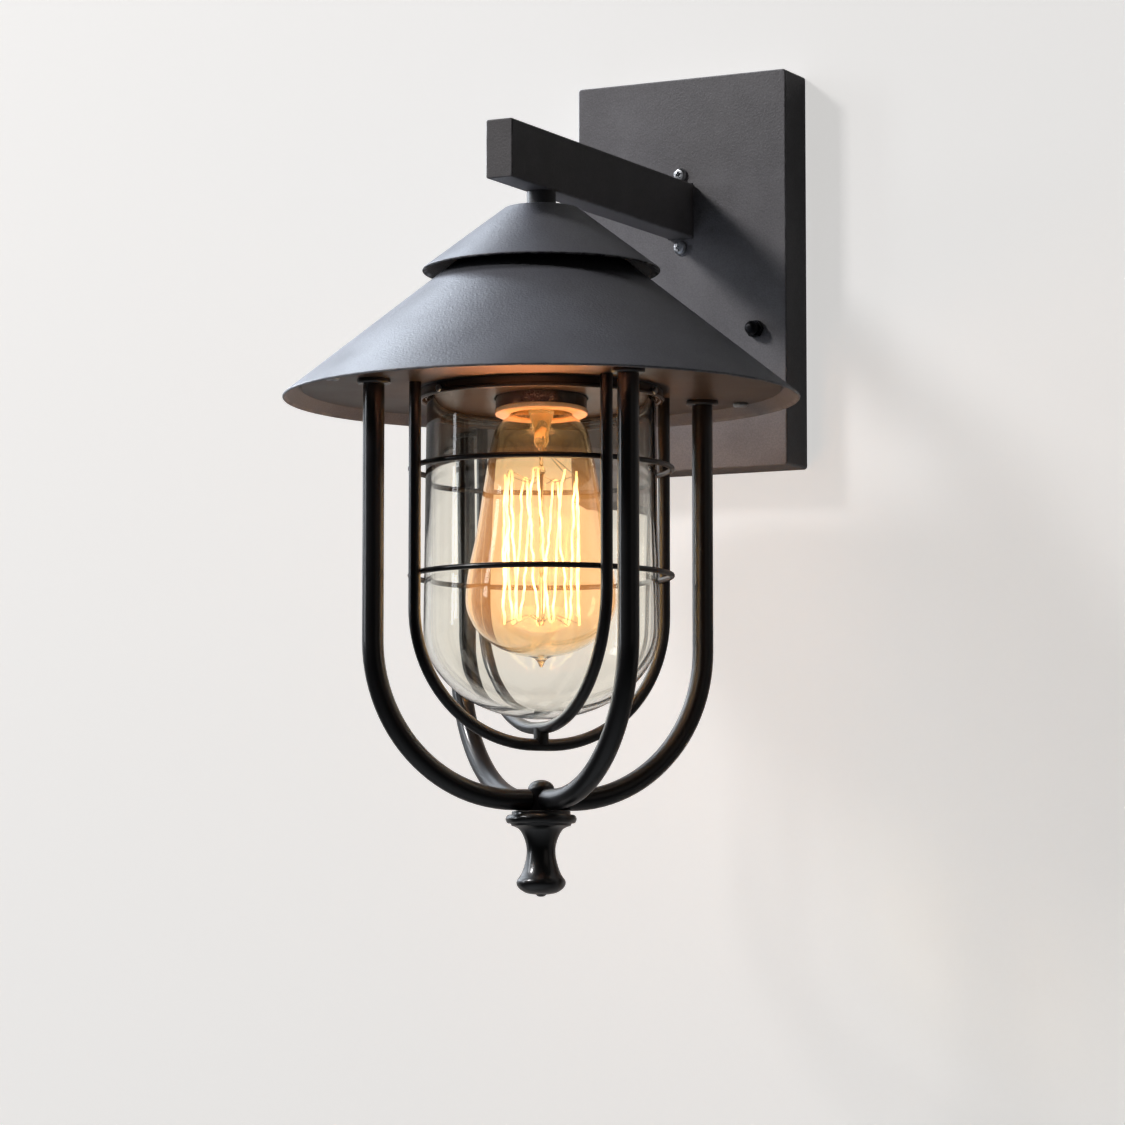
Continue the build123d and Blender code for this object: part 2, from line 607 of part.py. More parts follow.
# Glass jar: a blown cylinder with a domed bottom and a grooved lip
with BuildPart() as glass_jar:
    for inset, mode in ((0, Mode.ADD), (JAR_WALL, Mode.SUBTRACT)):
        with BuildSketch(upright(0)):
            with BuildLine():
                mouth = Line((0, JAR_TOP_Z), (JAR_RADIUS - inset, JAR_TOP_Z))
                side = Line(mouth @ 1, (JAR_RADIUS - inset, JAR_DOME_Z))
                dome = EllipticalCenterArc(
                    (0, JAR_DOME_Z),
                    JAR_RADIUS - inset,
                    JAR_DOME - inset,
                    start_angle=-QUARTER_TURN,
                    arc_size=QUARTER_TURN,
                )
                Line(dome @ 0, mouth @ 0)
            make_face()
        revolve(axis=LAMP_AXIS, mode=mode)
    with BuildSketch(level(SET_SCREW_Z - JAR_GROOVE_WIDTH / 2)):
        Circle(JAR_RADIUS + JAR_GROOVE_DEPTH)
        Circle(JAR_RADIUS - JAR_GROOVE_DEPTH, mode=Mode.SUBTRACT)
    extrude(amount=JAR_GROOVE_WIDTH, mode=Mode.SUBTRACT)
glass_jar.part.label = "glass_jar"
export_step(glass_jar.part, "parts/glass_jar.step")

# Lampholder body: a moulded black cup with two wire holes in its floor
with BuildPart() as lampholder_body:
    with BuildSketch(level(HOLDER_BOTTOM_Z)):
        Circle(HOLDER_RADIUS)
    extrude(amount=HOLDER_BODY)
    fillet(lampholder_body.faces().sort_by(Axis.Z)[0].edges(), HOLDER_EDGE)
    with BuildSketch(level(HOLDER_BOTTOM_Z)):
        Circle(HOLDER_BORE)
    extrude(amount=HOLDER_BODY - HOLDER_FLOOR, mode=Mode.SUBTRACT)
    with BuildSketch(level(HOLDER_FLOOR_Z)):
        with GridLocations(2 * CONTACT_REACH, 0, 2, 1):
            Circle(WIRE_HOLE / 2)
    extrude(amount=HOLDER_FLOOR, mode=Mode.SUBTRACT)
lampholder_body.part.label = "lampholder_body"
export_step(lampholder_body.part, "parts/lampholder_body.step")

# Lampholder cap: holds the body on the threaded tube, with room for the wires inside
with BuildPart() as lampholder_cap:
    for inset, mode in ((0, Mode.ADD), (HOLDER_CAP_WALL, Mode.SUBTRACT)):
        with BuildSketch(upright(0)):
            Polygon(
                (0, HOLDER_BODY_Z),
                (HOLDER_RADIUS - inset, HOLDER_BODY_Z),
                (HOLDER_RADIUS - inset, HOLDER_BODY_Z + HOLDER_CAP_SKIRT - inset),
                (HOLDER_NOSE_RADIUS, NIPPLE_END_Z - inset),
                (0, NIPPLE_END_Z - inset),
                align=None,
            )
        revolve(axis=LAMP_AXIS, mode=mode)
    with BuildSketch(level(NIPPLE_END_Z)):
        Circle(HOLDER_NOSE_RADIUS)
    extrude(amount=HOLDER_NOSE_LENGTH)
    with BuildSketch(level(NIPPLE_END_Z)):
        Circle(NIPPLE_DIAMETER / 2 + STUD_FIT)
    extrude(amount=HOLDER_NOSE_LENGTH, mode=Mode.SUBTRACT)
    with BuildSketch(level(NIPPLE_END_Z - HOLDER_CAP_WALL)):
        Circle(NIPPLE_BORE / 2)
    extrude(amount=HOLDER_CAP_WALL, mode=Mode.SUBTRACT)
lampholder_cap.part.label = "lampholder_cap"
export_step(lampholder_cap.part, "parts/lampholder_cap.step")

# Screw shell of the lampholder
with BuildPart() as screw_shell:
    with BuildSketch(level(HOLDER_BOTTOM_Z + SHELL_SET_BACK)):
        Circle(SHELL_BORE + SHELL_SHEET)
        Circle(SHELL_BORE, mode=Mode.SUBTRACT)
    extrude(amount=HOLDER_BODY - HOLDER_FLOOR - SHELL_SET_BACK)
screw_shell.part.label = "screw_shell"
export_step(screw_shell.part, "parts/screw_shell.step")

# Centre contact: a riveted strip on the cup's floor
with BuildPart() as centre_contact:
    with BuildSketch(level(HOLDER_FLOOR_Z - CONTACT_SHEET)):
        SlotOverall(2 * CONTACT_REACH, CONTACT_WIDTH)
    extrude(amount=CONTACT_SHEET)
centre_contact.part.label = "centre_contact"
export_step(centre_contact.part, "parts/centre_contact.step")

# Lamp cap: the brass sleeve that screws into the lampholder, with its sloped top
with BuildPart() as bulb_cap:
    with BuildSketch(upright(0)):
        Polygon(
            (CAP_TIP_RADIUS + CAP_CONE, CAP_TOP_Z + CAP_CONE / 2),
            (CAP_RADIUS, CAP_TOP_Z - CAP_CONE),
            (CAP_RADIUS, CAP_END_Z),
            (CAP_RADIUS - CAP_SHEET, CAP_END_Z),
            (CAP_RADIUS - CAP_SHEET, CAP_TOP_Z - CAP_CONE - CAP_SHEET),
            (CAP_TIP_RADIUS + CAP_CONE, CAP_TOP_Z + CAP_CONE / 2 - CAP_SHEET),
            align=None,
        )
    revolve(axis=LAMP_AXIS)
bulb_cap.part.label = "bulb_cap"
export_step(bulb_cap.part, "parts/bulb_cap.step")

# Black glass insulator in the lamp cap's top, and the solder tip on it
with BuildPart() as bulb_insulator:
    with BuildSketch(level(CAP_TOP_Z + CAP_CONE / 2 - CAP_SHEET)):
        Circle(CAP_TIP_RADIUS + CAP_CONE - WELD_GAP)
    extrude(amount=CAP_CONE / 2 + CAP_SHEET)
    chamfer(bulb_insulator.faces().sort_by(Axis.Z)[-1].edges(), CAP_CONE / 2)
bulb_insulator.part.label = "bulb_insulator"
export_step(bulb_insulator.part, "parts/bulb_insulator.step")
with BuildPart() as bulb_contact:
    with BuildSketch(level(CAP_TOP_Z + CAP_CONE)):
        Circle(CAP_TIP_RADIUS)
    extrude(amount=CAP_TIP_HEIGHT)
    fillet(bulb_contact.faces().sort_by(Axis.Z)[-1].edges(), CAP_TIP_HEIGHT / 2)
bulb_contact.part.label = "bulb_contact"
export_step(bulb_contact.part, "parts/bulb_contact.step")

# Lamp glass: a narrow neck, round shoulders, a long tapered flank and a round bottom
with BuildPart() as bulb_glass:
    for inset, mode in ((0, Mode.ADD), (GLASS_WALL, Mode.SUBTRACT)):
        with BuildSketch(upright(0)):
            with BuildLine():
                top = Line((0, CAP_END_Z + GLASS_IN_CAP), (GLASS_NECK_R - inset, CAP_END_Z + GLASS_IN_CAP))
                neck_line = Line(top @ 1, (GLASS_NECK_R - inset, SHOULDER_TOP_Z))
                flank = Spline(
                    neck_line @ 1,
                    (SHOULDER_R - inset, SHOULDER_Z),
                    (FLANK_R - inset, FLANK_Z),
                    (BELLY_R - inset, BELLY_Z),
                    tangents=((0, -1), (0, -1)),
                )
                bottom = EllipticalCenterArc(
                    (0, BELLY_Z),
                    BELLY_R - inset,
                    BOTTOM_RUN - inset,
                    start_angle=-QUARTER_TURN,
                    arc_size=QUARTER_TURN,
                )
                Line(bottom @ 0, top @ 0)
            make_face()
        revolve(axis=LAMP_AXIS, mode=mode)
bulb_glass.part.label = "bulb_glass"
export_step(bulb_glass.part, "parts/bulb_glass.step")

# Stem: a flared glass tube sealed into the neck, with a pinch and a rod down the middle
with BuildPart() as bulb_stem:
    with BuildSketch(upright(0)):
        with BuildLine():
            flare_top = Line((0, CAP_END_Z), (STEM_FLARE, CAP_END_Z))
            flare = Spline(
                flare_top @ 1,
                (STEM_TUBE, CAP_END_Z - STEM_RUN / 2),
                tangents=((-1, -1), (0, -1)),
            )
            tube = Line(flare @ 1, (STEM_TUBE, STEM_END_Z))
            rod_top = Line(tube @ 1, (ROD_RADIUS, STEM_END_Z))
            rod = Line(rod_top @ 1, (ROD_RADIUS, FILAMENT_LOW_Z - FILAMENT_WIRE))
            rod_end = Line(rod @ 1, (0, FILAMENT_LOW_Z - FILAMENT_WIRE))
            Line(rod_end @ 1, flare_top @ 0)
        make_face()
    revolve(axis=LAMP_AXIS)
bulb_stem.part.label = "bulb_stem"
export_step(bulb_stem.part, "parts/bulb_stem.step")

# Filament: one wire that runs down and up round the stem, with a half-turn at each end
strand_step = FULL_TURN / FILAMENT_STRANDS
with BuildPart() as filament:
    with BuildLine() as filament_path:
        for strand in range(FILAMENT_STRANDS):
            here = radians(strand * strand_step)
            there = radians((strand + 1) * strand_step)
            x, y = FILAMENT_RADIUS * cos(here), LAMP_Y + FILAMENT_RADIUS * sin(here)
            next_x, next_y = FILAMENT_RADIUS * cos(there), LAMP_Y + FILAMENT_RADIUS * sin(there)
            turn_radius = FILAMENT_RADIUS * sin(radians(strand_step / 2))
            high = FILAMENT_TOP_Z - turn_radius
            low = FILAMENT_LOW_Z + turn_radius
            goes_down = strand % 2 == 0
            start_z, end_z = (high, low) if goes_down else (low, high)
            Line((x, y, start_z), (x, y, end_z))
            if strand < FILAMENT_STRANDS - 1:
                crown = end_z + (-turn_radius if goes_down else turn_radius)
                ThreePointArc(
                    (x, y, end_z), ((x + next_x) / 2, (y + next_y) / 2, crown), (next_x, next_y, end_z)
                )
    with BuildSketch(Plane(origin=filament_path.line @ 0, z_dir=filament_path.line % 0)):
        RegularPolygon(FILAMENT_WIRE / 2, FILAMENT_SIDE_COUNT)
    sweep()
filament.part.label = "filament"
export_step(filament.part, "parts/filament.step")

# Hooks that reach from the glass rod to the filament's turns
with BuildPart() as filament_supports:
    for strand in range(FILAMENT_STRANDS - 1):
        middle = (strand + 0.5) * strand_step
        at_bottom = strand % 2 == 0
        hook_z = FILAMENT_LOW_Z + FILAMENT_WIRE if at_bottom else FILAMENT_TOP_Z - FILAMENT_WIRE
        reach = FILAMENT_RADIUS * cos(radians(strand_step / 2)) + HOOK_WIRE - ROD_RADIUS
        with BuildSketch(outward(middle, ROD_RADIUS + WELD_GAP, hook_z)):
            RegularPolygon(HOOK_WIRE / 2, HOOK_SIDE_COUNT)
        extrude(amount=reach)
filament_supports.part.label = "filament_supports"
export_step(filament_supports.part, "parts/filament_supports.step")

# Lead wires from the pinch to the filament's two ends
with BuildPart() as lead_wires:
    for strand in (0, FILAMENT_STRANDS - 1):
        turn = strand * strand_step
        with BuildLine(upright(turn)) as wire_path:
            FilletPolyline(
                (STEM_TUBE / 2, STEM_END_Z - HOOK_WIRE),
                (FILAMENT_RADIUS / 2, STEM_END_Z - LEAD_WIRE_DROP),
                (FILAMENT_RADIUS, FILAMENT_TOP_Z - turn_radius + HOOK_WIRE),
                radius=LEAD_WIRE_BEND,
            )
        with BuildSketch(Plane(origin=wire_path.line @ 0, z_dir=wire_path.line % 0)):
            RegularPolygon(HOOK_WIRE / 2, HOOK_SIDE_COUNT)
        sweep()
lead_wires.part.label = "lead_wires"
export_step(lead_wires.part, "parts/lead_wires.step")

# Outer bars: bent rods, threaded at the top and coped onto the hub
for count, place in enumerate(BAR_NAMES):
    bar_plane = upright(FIRST_BAR + count * FULL_TURN / BAR_COUNT)
    with BuildPart() as bar:
        with BuildLine(bar_plane) as bar_path:
            FilletPolyline(
                (BAR_RADIUS, BAR_TOP_Z),
                (BAR_RADIUS, BAR_LOW_Z),
                (BAR_DIAMETER / 4, BAR_LOW_Z),
                radius=BAR_BEND,
            )
        with BuildSketch(Plane(origin=bar_path.line @ 0, z_dir=bar_path.line % 0)):
            Circle(BAR_DIAMETER / 2)
        sweep()
        with BuildSketch(level(HUB_UNDER_Z)):
            Circle(HUB_RADIUS + WELD_GAP)
        extrude(amount=BAR_DIAMETER, mode=Mode.SUBTRACT)
        with BuildSketch(Plane(origin=bar_path.line @ 0, z_dir=(0, 0, 1))):
            Circle(BAR_THREAD / 2)
        extrude(amount=FLANGE_SHEET + BASE_SHEET + BAR_NUT_HEIGHT + THREAD_PAST_NUT)
    name = f"outer_bar_{place}"
    bar.part.label = name
    export_step(bar.part, f"parts/{name}.step")

# Washers under the base plate, one on each outer bar
with BuildPart() as bar_flanges:
    with BuildSketch(level(BAR_TOP_Z)):
        with PolarLocations(BAR_RADIUS, BAR_COUNT, start_angle=FIRST_BAR):
            Circle(FLANGE_DIAMETER / 2)
            Circle(BAR_THREAD / 2 + STUD_FIT, mode=Mode.SUBTRACT)
    extrude(amount=FLANGE_SHEET)
    lower_edges = bar_flanges.edges().filter_by(GeomType.CIRCLE).group_by(Axis.Z)[0]
    chamfer(lower_edges.sort_by(SortBy.RADIUS)[-BAR_COUNT:], FLANGE_EDGE)
bar_flanges.part.label = "bar_flanges"
export_step(bar_flanges.part, "parts/bar_flanges.step")

# Nuts above the base plate on the outer bars and on the hoops
with BuildPart() as bar_nuts:
    with BuildSketch(level(BASE_TOP_Z)):
        with PolarLocations(BAR_RADIUS, BAR_COUNT, start_angle=FIRST_BAR):
            RegularPolygon(BAR_NUT_FLATS / 2, HEX_SIDE_COUNT, major_radius=False)
            Circle(BAR_THREAD / 2 + STUD_FIT, mode=Mode.SUBTRACT)
    extrude(amount=BAR_NUT_HEIGHT)
bar_nuts.part.label = "bar_nuts"
export_step(bar_nuts.part, "parts/bar_nuts.step")
with BuildPart() as hoop_nuts:
    with BuildSketch(level(BASE_TOP_Z)):
        with PolarLocations(HOOP_RADIUS, BAR_COUNT, start_angle=FIRST_BAR):
            RegularPolygon(HOOP_NUT_FLATS / 2, HEX_SIDE_COUNT, major_radius=False)
            Circle(HOOP_THREAD / 2 + STUD_FIT, mode=Mode.SUBTRACT)
    extrude(amount=HOOP_NUT_HEIGHT)
hoop_nuts.part.label = "hoop_nuts"
export_step(hoop_nuts.part, "parts/hoop_nuts.step")

# Inner hoops: two bent rods that cross under the jar
for name, angle, low_z in (
    ("inner_hoop_low", FIRST_BAR, HOOP_LOW_Z),
    ("inner_hoop_high", FIRST_BAR + QUARTER_TURN, HOOP_HIGH_Z),
):
    with BuildPart() as hoop:
        with BuildLine(upright(angle)) as hoop_path:
            FilletPolyline(
                (-HOOP_RADIUS, BASE_UNDER_Z),
                (-HOOP_RADIUS, low_z),
                (HOOP_RADIUS, low_z),
                (HOOP_RADIUS, BASE_UNDER_Z),
                radius=HOOP_BEND,
            )
        with BuildSketch(Plane(origin=hoop_path.line @ 0, z_dir=hoop_path.line % 0)):
            Circle(HOOP_DIAMETER / 2)
        sweep()
        for end in (0, 1):
            with BuildSketch(Plane(origin=hoop_path.line @ end, z_dir=(0, 0, 1))):
                Circle(HOOP_THREAD / 2)
            extrude(amount=BASE_SHEET + HOOP_NUT_HEIGHT + THREAD_PAST_NUT)
    hoop.part.label = name
    export_step(hoop.part, f"parts/{name}.step")

# Spacer welded between the hoops where they cross, hollowed to both rods
with BuildPart() as hoop_spacer:
    with BuildSketch(level(HOOP_LOW_Z)):
        Circle(RIVET_DIAMETER / 2)
    extrude(amount=HOOP_HIGH_Z - HOOP_LOW_Z)
    for angle, rod_z in ((FIRST_BAR, HOOP_LOW_Z), (FIRST_BAR + QUARTER_TURN, HOOP_HIGH_Z)):
        with BuildSketch(outward(angle, -RIVET_DIAMETER, rod_z)):
            Circle(HOOP_DIAMETER / 2 + WELD_GAP)
        extrude(amount=2 * RIVET_DIAMETER, mode=Mode.SUBTRACT)
hoop_spacer.part.label = "hoop_spacer"
export_step(hoop_spacer.part, "parts/hoop_spacer.step")

# Rings welded inside the hoops, round the jar
for name, drop in (("upper_ring", UPPER_RING_DROP), ("lower_ring", LOWER_RING_DROP)):
    with BuildPart() as ring:
        with BuildSketch(upright(0)):
            with Locations((RING_RADIUS, BASE_UNDER_Z - drop)):
                Circle(RING_WIRE / 2)
        revolve(axis=LAMP_AXIS)
    ring.part.label = name
    export_step(ring.part, f"parts/{name}.step")

# Hub: a short post that the four bars are welded to
with BuildPart() as cage_hub:
    with BuildSketch(level(HUB_UNDER_Z)):
        Circle(HUB_RADIUS)
        Circle(HUB_BOLT_DIAMETER / 2 + STUD_FIT, mode=Mode.SUBTRACT)
    extrude(amount=BAR_DIAMETER)
cage_hub.part.label = "cage_hub"
export_step(cage_hub.part, "parts/cage_hub.step")

# Domed bolt through the hub, which the finial screws onto
with BuildPart() as hub_bolt:
    with BuildSketch(level(HUB_TOP_Z)):
        Circle(HUB_RADIUS)
    extrude(amount=HUB_BOLT_DOME)
    fillet(hub_bolt.faces().sort_by(Axis.Z)[-1].edges(), HUB_BOLT_DOME - HUB_BOLT_FLAT)
    with BuildSketch(level(HUB_TOP_Z)):
        Circle(HUB_BOLT_DIAMETER / 2)
    extrude(amount=-(BAR_DIAMETER + FINIAL_GAP + HUB_BOLT_IN_FINIAL))
hub_bolt.part.label = "hub_bolt"
export_step(hub_bolt.part, "parts/hub_bolt.step")

# Finial: a turned baluster on the bolt
with BuildPart() as finial:
    with BuildSketch(upright(0)):
        with BuildLine():
            top = Line((0, FINIAL_TOP_Z), (FINIAL_STEP_R, FINIAL_TOP_Z))
            step = Line(top @ 1, (FINIAL_STEP_R, FINIAL_TOP_Z - FINIAL_STEP))
            disc_edge = ThreePointArc(
                step @ 1,
                (FINIAL_DISC_R, FINIAL_TOP_Z - FINIAL_STEP - FINIAL_DISC_WIDEST),
                (FINIAL_STEP_R, FINIAL_TOP_Z - FINIAL_STEP - FINIAL_DISC),
            )
            waist = Spline(
                disc_edge @ 1,
                (FINIAL_WAIST_R, FINIAL_TOP_Z - FINIAL_WAIST_DROP),
                (FINIAL_FLARE_R, FINIAL_TOP_Z - FINIAL_FLARE_DROP),
                tangents=(FINIAL_WAIST_LEAVES, FINIAL_WAIST_MEETS),
            )
            bead = ThreePointArc(
                waist @ 1,
                (FINIAL_BEAD_R, FINIAL_TOP_Z - FINIAL_FLARE_DROP - FINIAL_BEAD / 2),
                (FINIAL_FLARE_R, FINIAL_TOP_Z - FINIAL_FLARE_DROP - FINIAL_BEAD),
            )
            under = ThreePointArc(
                bead @ 1,
                (FINIAL_UNDER_R, FINIAL_TOP_Z - FINIAL_UNDER_DROP),
                (FINIAL_END_R, FINIAL_TOP_Z - FINIAL_END_DROP),
            )
            tip = EllipticalCenterArc(
                (0, FINIAL_TOP_Z - FINIAL_END_DROP),
                FINIAL_END_R,
                FINIAL_TIP,
                start_angle=-QUARTER_TURN,
                arc_size=QUARTER_TURN,
            )
            Line(tip @ 0, top @ 0)
        make_face()
    revolve(axis=LAMP_AXIS)
    with BuildSketch(level(FINIAL_TOP_Z)):
        Circle(HUB_BOLT_DIAMETER / 2 + FINIAL_FIT)
    extrude(amount=-(HUB_BOLT_IN_FINIAL + FINIAL_GAP), mode=Mode.SUBTRACT)
finial.part.label = "finial"
export_step(finial.part, "parts/finial.step")

# Terminal block behind the plate's front
with BuildPart() as terminal_block:
    with BuildSketch(Plane.XZ.offset(-PLATE_INNER_Y)):
        with Locations((0, BLOCK_Z)):
            Rectangle(BLOCK_WIDTH, BLOCK_HEIGHT)
    extrude(amount=-BLOCK_DEPTH)
    with BuildSketch(Plane(origin=(0, BLOCK_WIRE_Y, BLOCK_TOP_Z))):
        with GridLocations(BLOCK_PITCH, 0, BLOCK_POLES, 1):
            Circle(WIRE_HOLE / 2)
    extrude(amount=-BLOCK_HEIGHT, mode=Mode.SUBTRACT)
    with BuildSketch(Plane.XZ.offset(-PLATE_INNER_Y - BLOCK_DEPTH)):
        with Locations((0, BLOCK_Z)):
            with GridLocations(BLOCK_PITCH, BLOCK_HEIGHT / 2, BLOCK_POLES, 2):
                Circle(CLAMP_SCREW / 2)
    extrude(amount=BLOCK_DEPTH / 2, mode=Mode.SUBTRACT)
terminal_block.part.label = "terminal_block"
export_step(terminal_block.part, "parts/terminal_block.step")

# Clamp tubes in the block, and the screws that press the wires in them
with BuildPart() as clamp_tubes:
    with BuildSketch(Plane(origin=(0, BLOCK_WIRE_Y, BLOCK_TOP_Z - CLAMP_SET_BACK))):
        with GridLocations(BLOCK_PITCH, 0, BLOCK_POLES, 1):
            Circle(WIRE_HOLE / 2 - STUD_FIT)
            Circle(CLAMP_BORE / 2, mode=Mode.SUBTRACT)
    extrude(amount=2 * CLAMP_SET_BACK - BLOCK_HEIGHT)
clamp_tubes.part.label = "clamp_tubes"
export_step(clamp_tubes.part, "parts/clamp_tubes.step")
with BuildPart() as clamp_screws:
    with BuildSketch(Plane.XZ.offset(-PLATE_INNER_Y - BLOCK_DEPTH + CLAMP_SCREW_SUNK)):
        with Locations((0, BLOCK_Z)):
            with GridLocations(BLOCK_PITCH, BLOCK_HEIGHT / 2, BLOCK_POLES, 2):
                Circle(CLAMP_SCREW / 2 - STUD_FIT)
    extrude(amount=(BLOCK_DEPTH - WIRE_HOLE) / 2 - CLAMP_SCREW_SUNK)
clamp_screws.part.label = "clamp_screws"
export_step(clamp_screws.part, "parts/clamp_screws.step")

# Earth stud welded inside the plate's front, with its nut
with BuildPart() as earth_stud:
    with BuildSketch(Plane.XZ.offset(-PLATE_INNER_Y)):
        with Locations((EARTH_STUD_X, BLOCK_Z)):
            Circle(EARTH_STUD_DIAMETER / 2)
    extrude(amount=-EARTH_STUD_LENGTH)
earth_stud.part.label = "earth_stud"
export_step(earth_stud.part, "parts/earth_stud.step")
with BuildPart() as earth_nut:
    with BuildSketch(Plane.XZ.offset(-PLATE_INNER_Y)):
        with Locations((EARTH_STUD_X, BLOCK_Z)):
            RegularPolygon(EARTH_NUT_FLATS / 2, HEX_SIDE_COUNT, major_radius=False)
            Circle(EARTH_STUD_DIAMETER / 2 + STUD_FIT, mode=Mode.SUBTRACT)
    extrude(amount=-EARTH_NUT_HEIGHT)
earth_nut.part.label = "earth_nut"
export_step(earth_nut.part, "parts/earth_nut.step")

# Two-core lead from the terminal block through the arm to the lampholder
with BuildPart() as supply_lead:
    with BuildLine() as lead_path:
        FilletPolyline(
            (0, BLOCK_WIRE_Y, BLOCK_TOP_Z - CLAMP_SET_BACK + WELD_GAP),
            (0, BLOCK_WIRE_Y, ARM_Z),
            (0, LAMP_Y, ARM_Z),
            (0, LAMP_Y, NIPPLE_END_Z - HOLDER_CAP_WALL),
            radius=LEAD_BEND,
        )
    with BuildSketch(Plane(origin=lead_path.line @ 0, z_dir=lead_path.line % 0)):
        Circle(LEAD_DIAMETER / 2)
    sweep()
supply_lead.part.label = "supply_lead"
export_step(supply_lead.part, "parts/supply_lead.step")
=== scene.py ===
import bpy
import bmesh
from math import cos, pi, radians, sin
from mathutils import Matrix, Vector


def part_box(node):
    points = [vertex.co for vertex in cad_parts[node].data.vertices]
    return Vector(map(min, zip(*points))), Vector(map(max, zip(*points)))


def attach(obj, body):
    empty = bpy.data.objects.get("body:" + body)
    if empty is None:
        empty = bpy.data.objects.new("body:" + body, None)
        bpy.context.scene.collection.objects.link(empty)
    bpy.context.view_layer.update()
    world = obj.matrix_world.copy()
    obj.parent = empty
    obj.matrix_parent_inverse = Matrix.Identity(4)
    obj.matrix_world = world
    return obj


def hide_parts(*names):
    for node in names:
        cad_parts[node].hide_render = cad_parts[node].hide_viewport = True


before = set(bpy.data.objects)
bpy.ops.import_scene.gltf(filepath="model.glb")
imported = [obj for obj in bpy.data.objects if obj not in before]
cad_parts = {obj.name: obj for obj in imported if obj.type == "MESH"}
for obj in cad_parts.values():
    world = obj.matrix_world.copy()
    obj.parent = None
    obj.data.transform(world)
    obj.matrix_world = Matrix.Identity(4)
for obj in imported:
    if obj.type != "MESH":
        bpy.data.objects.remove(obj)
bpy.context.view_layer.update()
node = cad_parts

# The camera stands below the lantern and to its right, as the photograph was taken, with a long lens.
camera = bpy.data.objects.new("camera", bpy.data.cameras.new("camera"))
camera.data.lens = 133.31
camera.data.sensor_width = 36
camera.data.clip_end = 100
camera.location = (0.81769, -1.71204, -0.29895)
camera.rotation_euler = Vector((-0.45938, 0.88379, 0.08875)).to_track_quat("-Z", "Y").to_euler()
bpy.context.scene.collection.objects.link(camera)
bpy.context.scene.camera = camera


# A pale floor well below the light and a pale wall behind it. The wall shows from its front alone,
# so that it doesn't hide the light's back.
def flat_sheet(name, corners):
    mesh = bpy.data.meshes.new(name)
    mesh.from_pydata(corners, [], [range(len(corners))])
    sheet = bpy.data.objects.new(name, mesh)
    bpy.context.scene.collection.objects.link(sheet)
    return sheet


def new_material(name):
    made = bpy.data.materials.new(name)
    made.use_nodes = True
    made.node_tree.nodes.clear()
    return made, made.node_tree.nodes, made.node_tree.links


def noise_field(nodes, links, vector, size, detail=2.0, rough=0.5):
    field = nodes.new("ShaderNodeTexNoise")
    field.inputs["Scale"].default_value = size
    field.inputs["Detail"].default_value = detail
    field.inputs["Roughness"].default_value = rough
    links.new(vector, field.inputs["Vector"])
    return field.outputs["Fac"]


def number(nodes, links, operation, *values):
    step = nodes.new("ShaderNodeMath")
    step.operation = operation
    for spot, value in enumerate(values):
        if isinstance(value, (int, float)):
            step.inputs[spot].default_value = value
        else:
            links.new(value, step.inputs[spot])
    return step.outputs["Value"]


def bumped(nodes, links, height, strength, depth, shader):
    bump = nodes.new("ShaderNodeBump")
    bump.inputs["Strength"].default_value = strength
    bump.inputs["Distance"].default_value = depth
    links.new(height, bump.inputs["Height"])
    links.new(bump.outputs["Normal"], shader.inputs["Normal"])


def seen_straight(nodes, links):
    """1 for what the camera sees, straight or through glass, and 0 for all other rays."""
    ray = nodes.new("ShaderNodeLightPath")
    return number(nodes, links, "MAXIMUM", ray.outputs["Is Camera Ray"], ray.outputs["Is Transmission Ray"])


FLOOR_Z, FLOOR_REACH, WALL_REACH, WALL_TOP, WALL_Y = -2.4, 40, 6, 3, 0.0006
floor = flat_sheet("floor", [
    (x * FLOOR_REACH, y * FLOOR_REACH, FLOOR_Z) for x, y in ((-1, -1), (1, -1), (1, 1), (-1, 1))
])
wall = flat_sheet("wall", [
    (x * WALL_REACH, WALL_Y, z) for x, z in ((-1, FLOOR_Z), (1, FLOOR_Z), (1, WALL_TOP), (-1, WALL_TOP))
])
wall.visible_shadow = False
wall.visible_diffuse = False
for sheet, colour, paleness in ((floor, (0.45, 0.445, 0.435, 1), 0.56), (wall, (0.60, 0.59, 0.575, 1), 0.60)):
    plaster, nodes, links = new_material(sheet.name + "_plaster")
    chalk = nodes.new("ShaderNodeBsdfPrincipled")
    chalk.inputs["Base Color"].default_value = colour
    chalk.inputs["Roughness"].default_value = 0.9
    chalk.inputs["Emission Color"].default_value = (1.0, 0.985, 0.965, 1)
    grain = noise_field(nodes, links, nodes.new("ShaderNodeTexCoord").outputs["Object"], 260)
    bumped(nodes, links, grain, 0.08, 0.001, chalk)
    pale = number(nodes, links, "MULTIPLY", seen_straight(nodes, links), paleness)
    links.new(pale, chalk.inputs["Emission Strength"])
    output = nodes.new("ShaderNodeOutputMaterial")
    if sheet is wall:
        side = nodes.new("ShaderNodeNewGeometry")
        clear = nodes.new("ShaderNodeBsdfTransparent")
        front = nodes.new("ShaderNodeMixShader")
        links.new(side.outputs["Backfacing"], front.inputs["Fac"])
        links.new(chalk.outputs["BSDF"], front.inputs[1])
        links.new(clear.outputs["BSDF"], front.inputs[2])
        links.new(front.outputs["Shader"], output.inputs["Surface"])
    else:
        links.new(chalk.outputs["BSDF"], output.inputs["Surface"])
    sheet.data.materials.append(plaster)


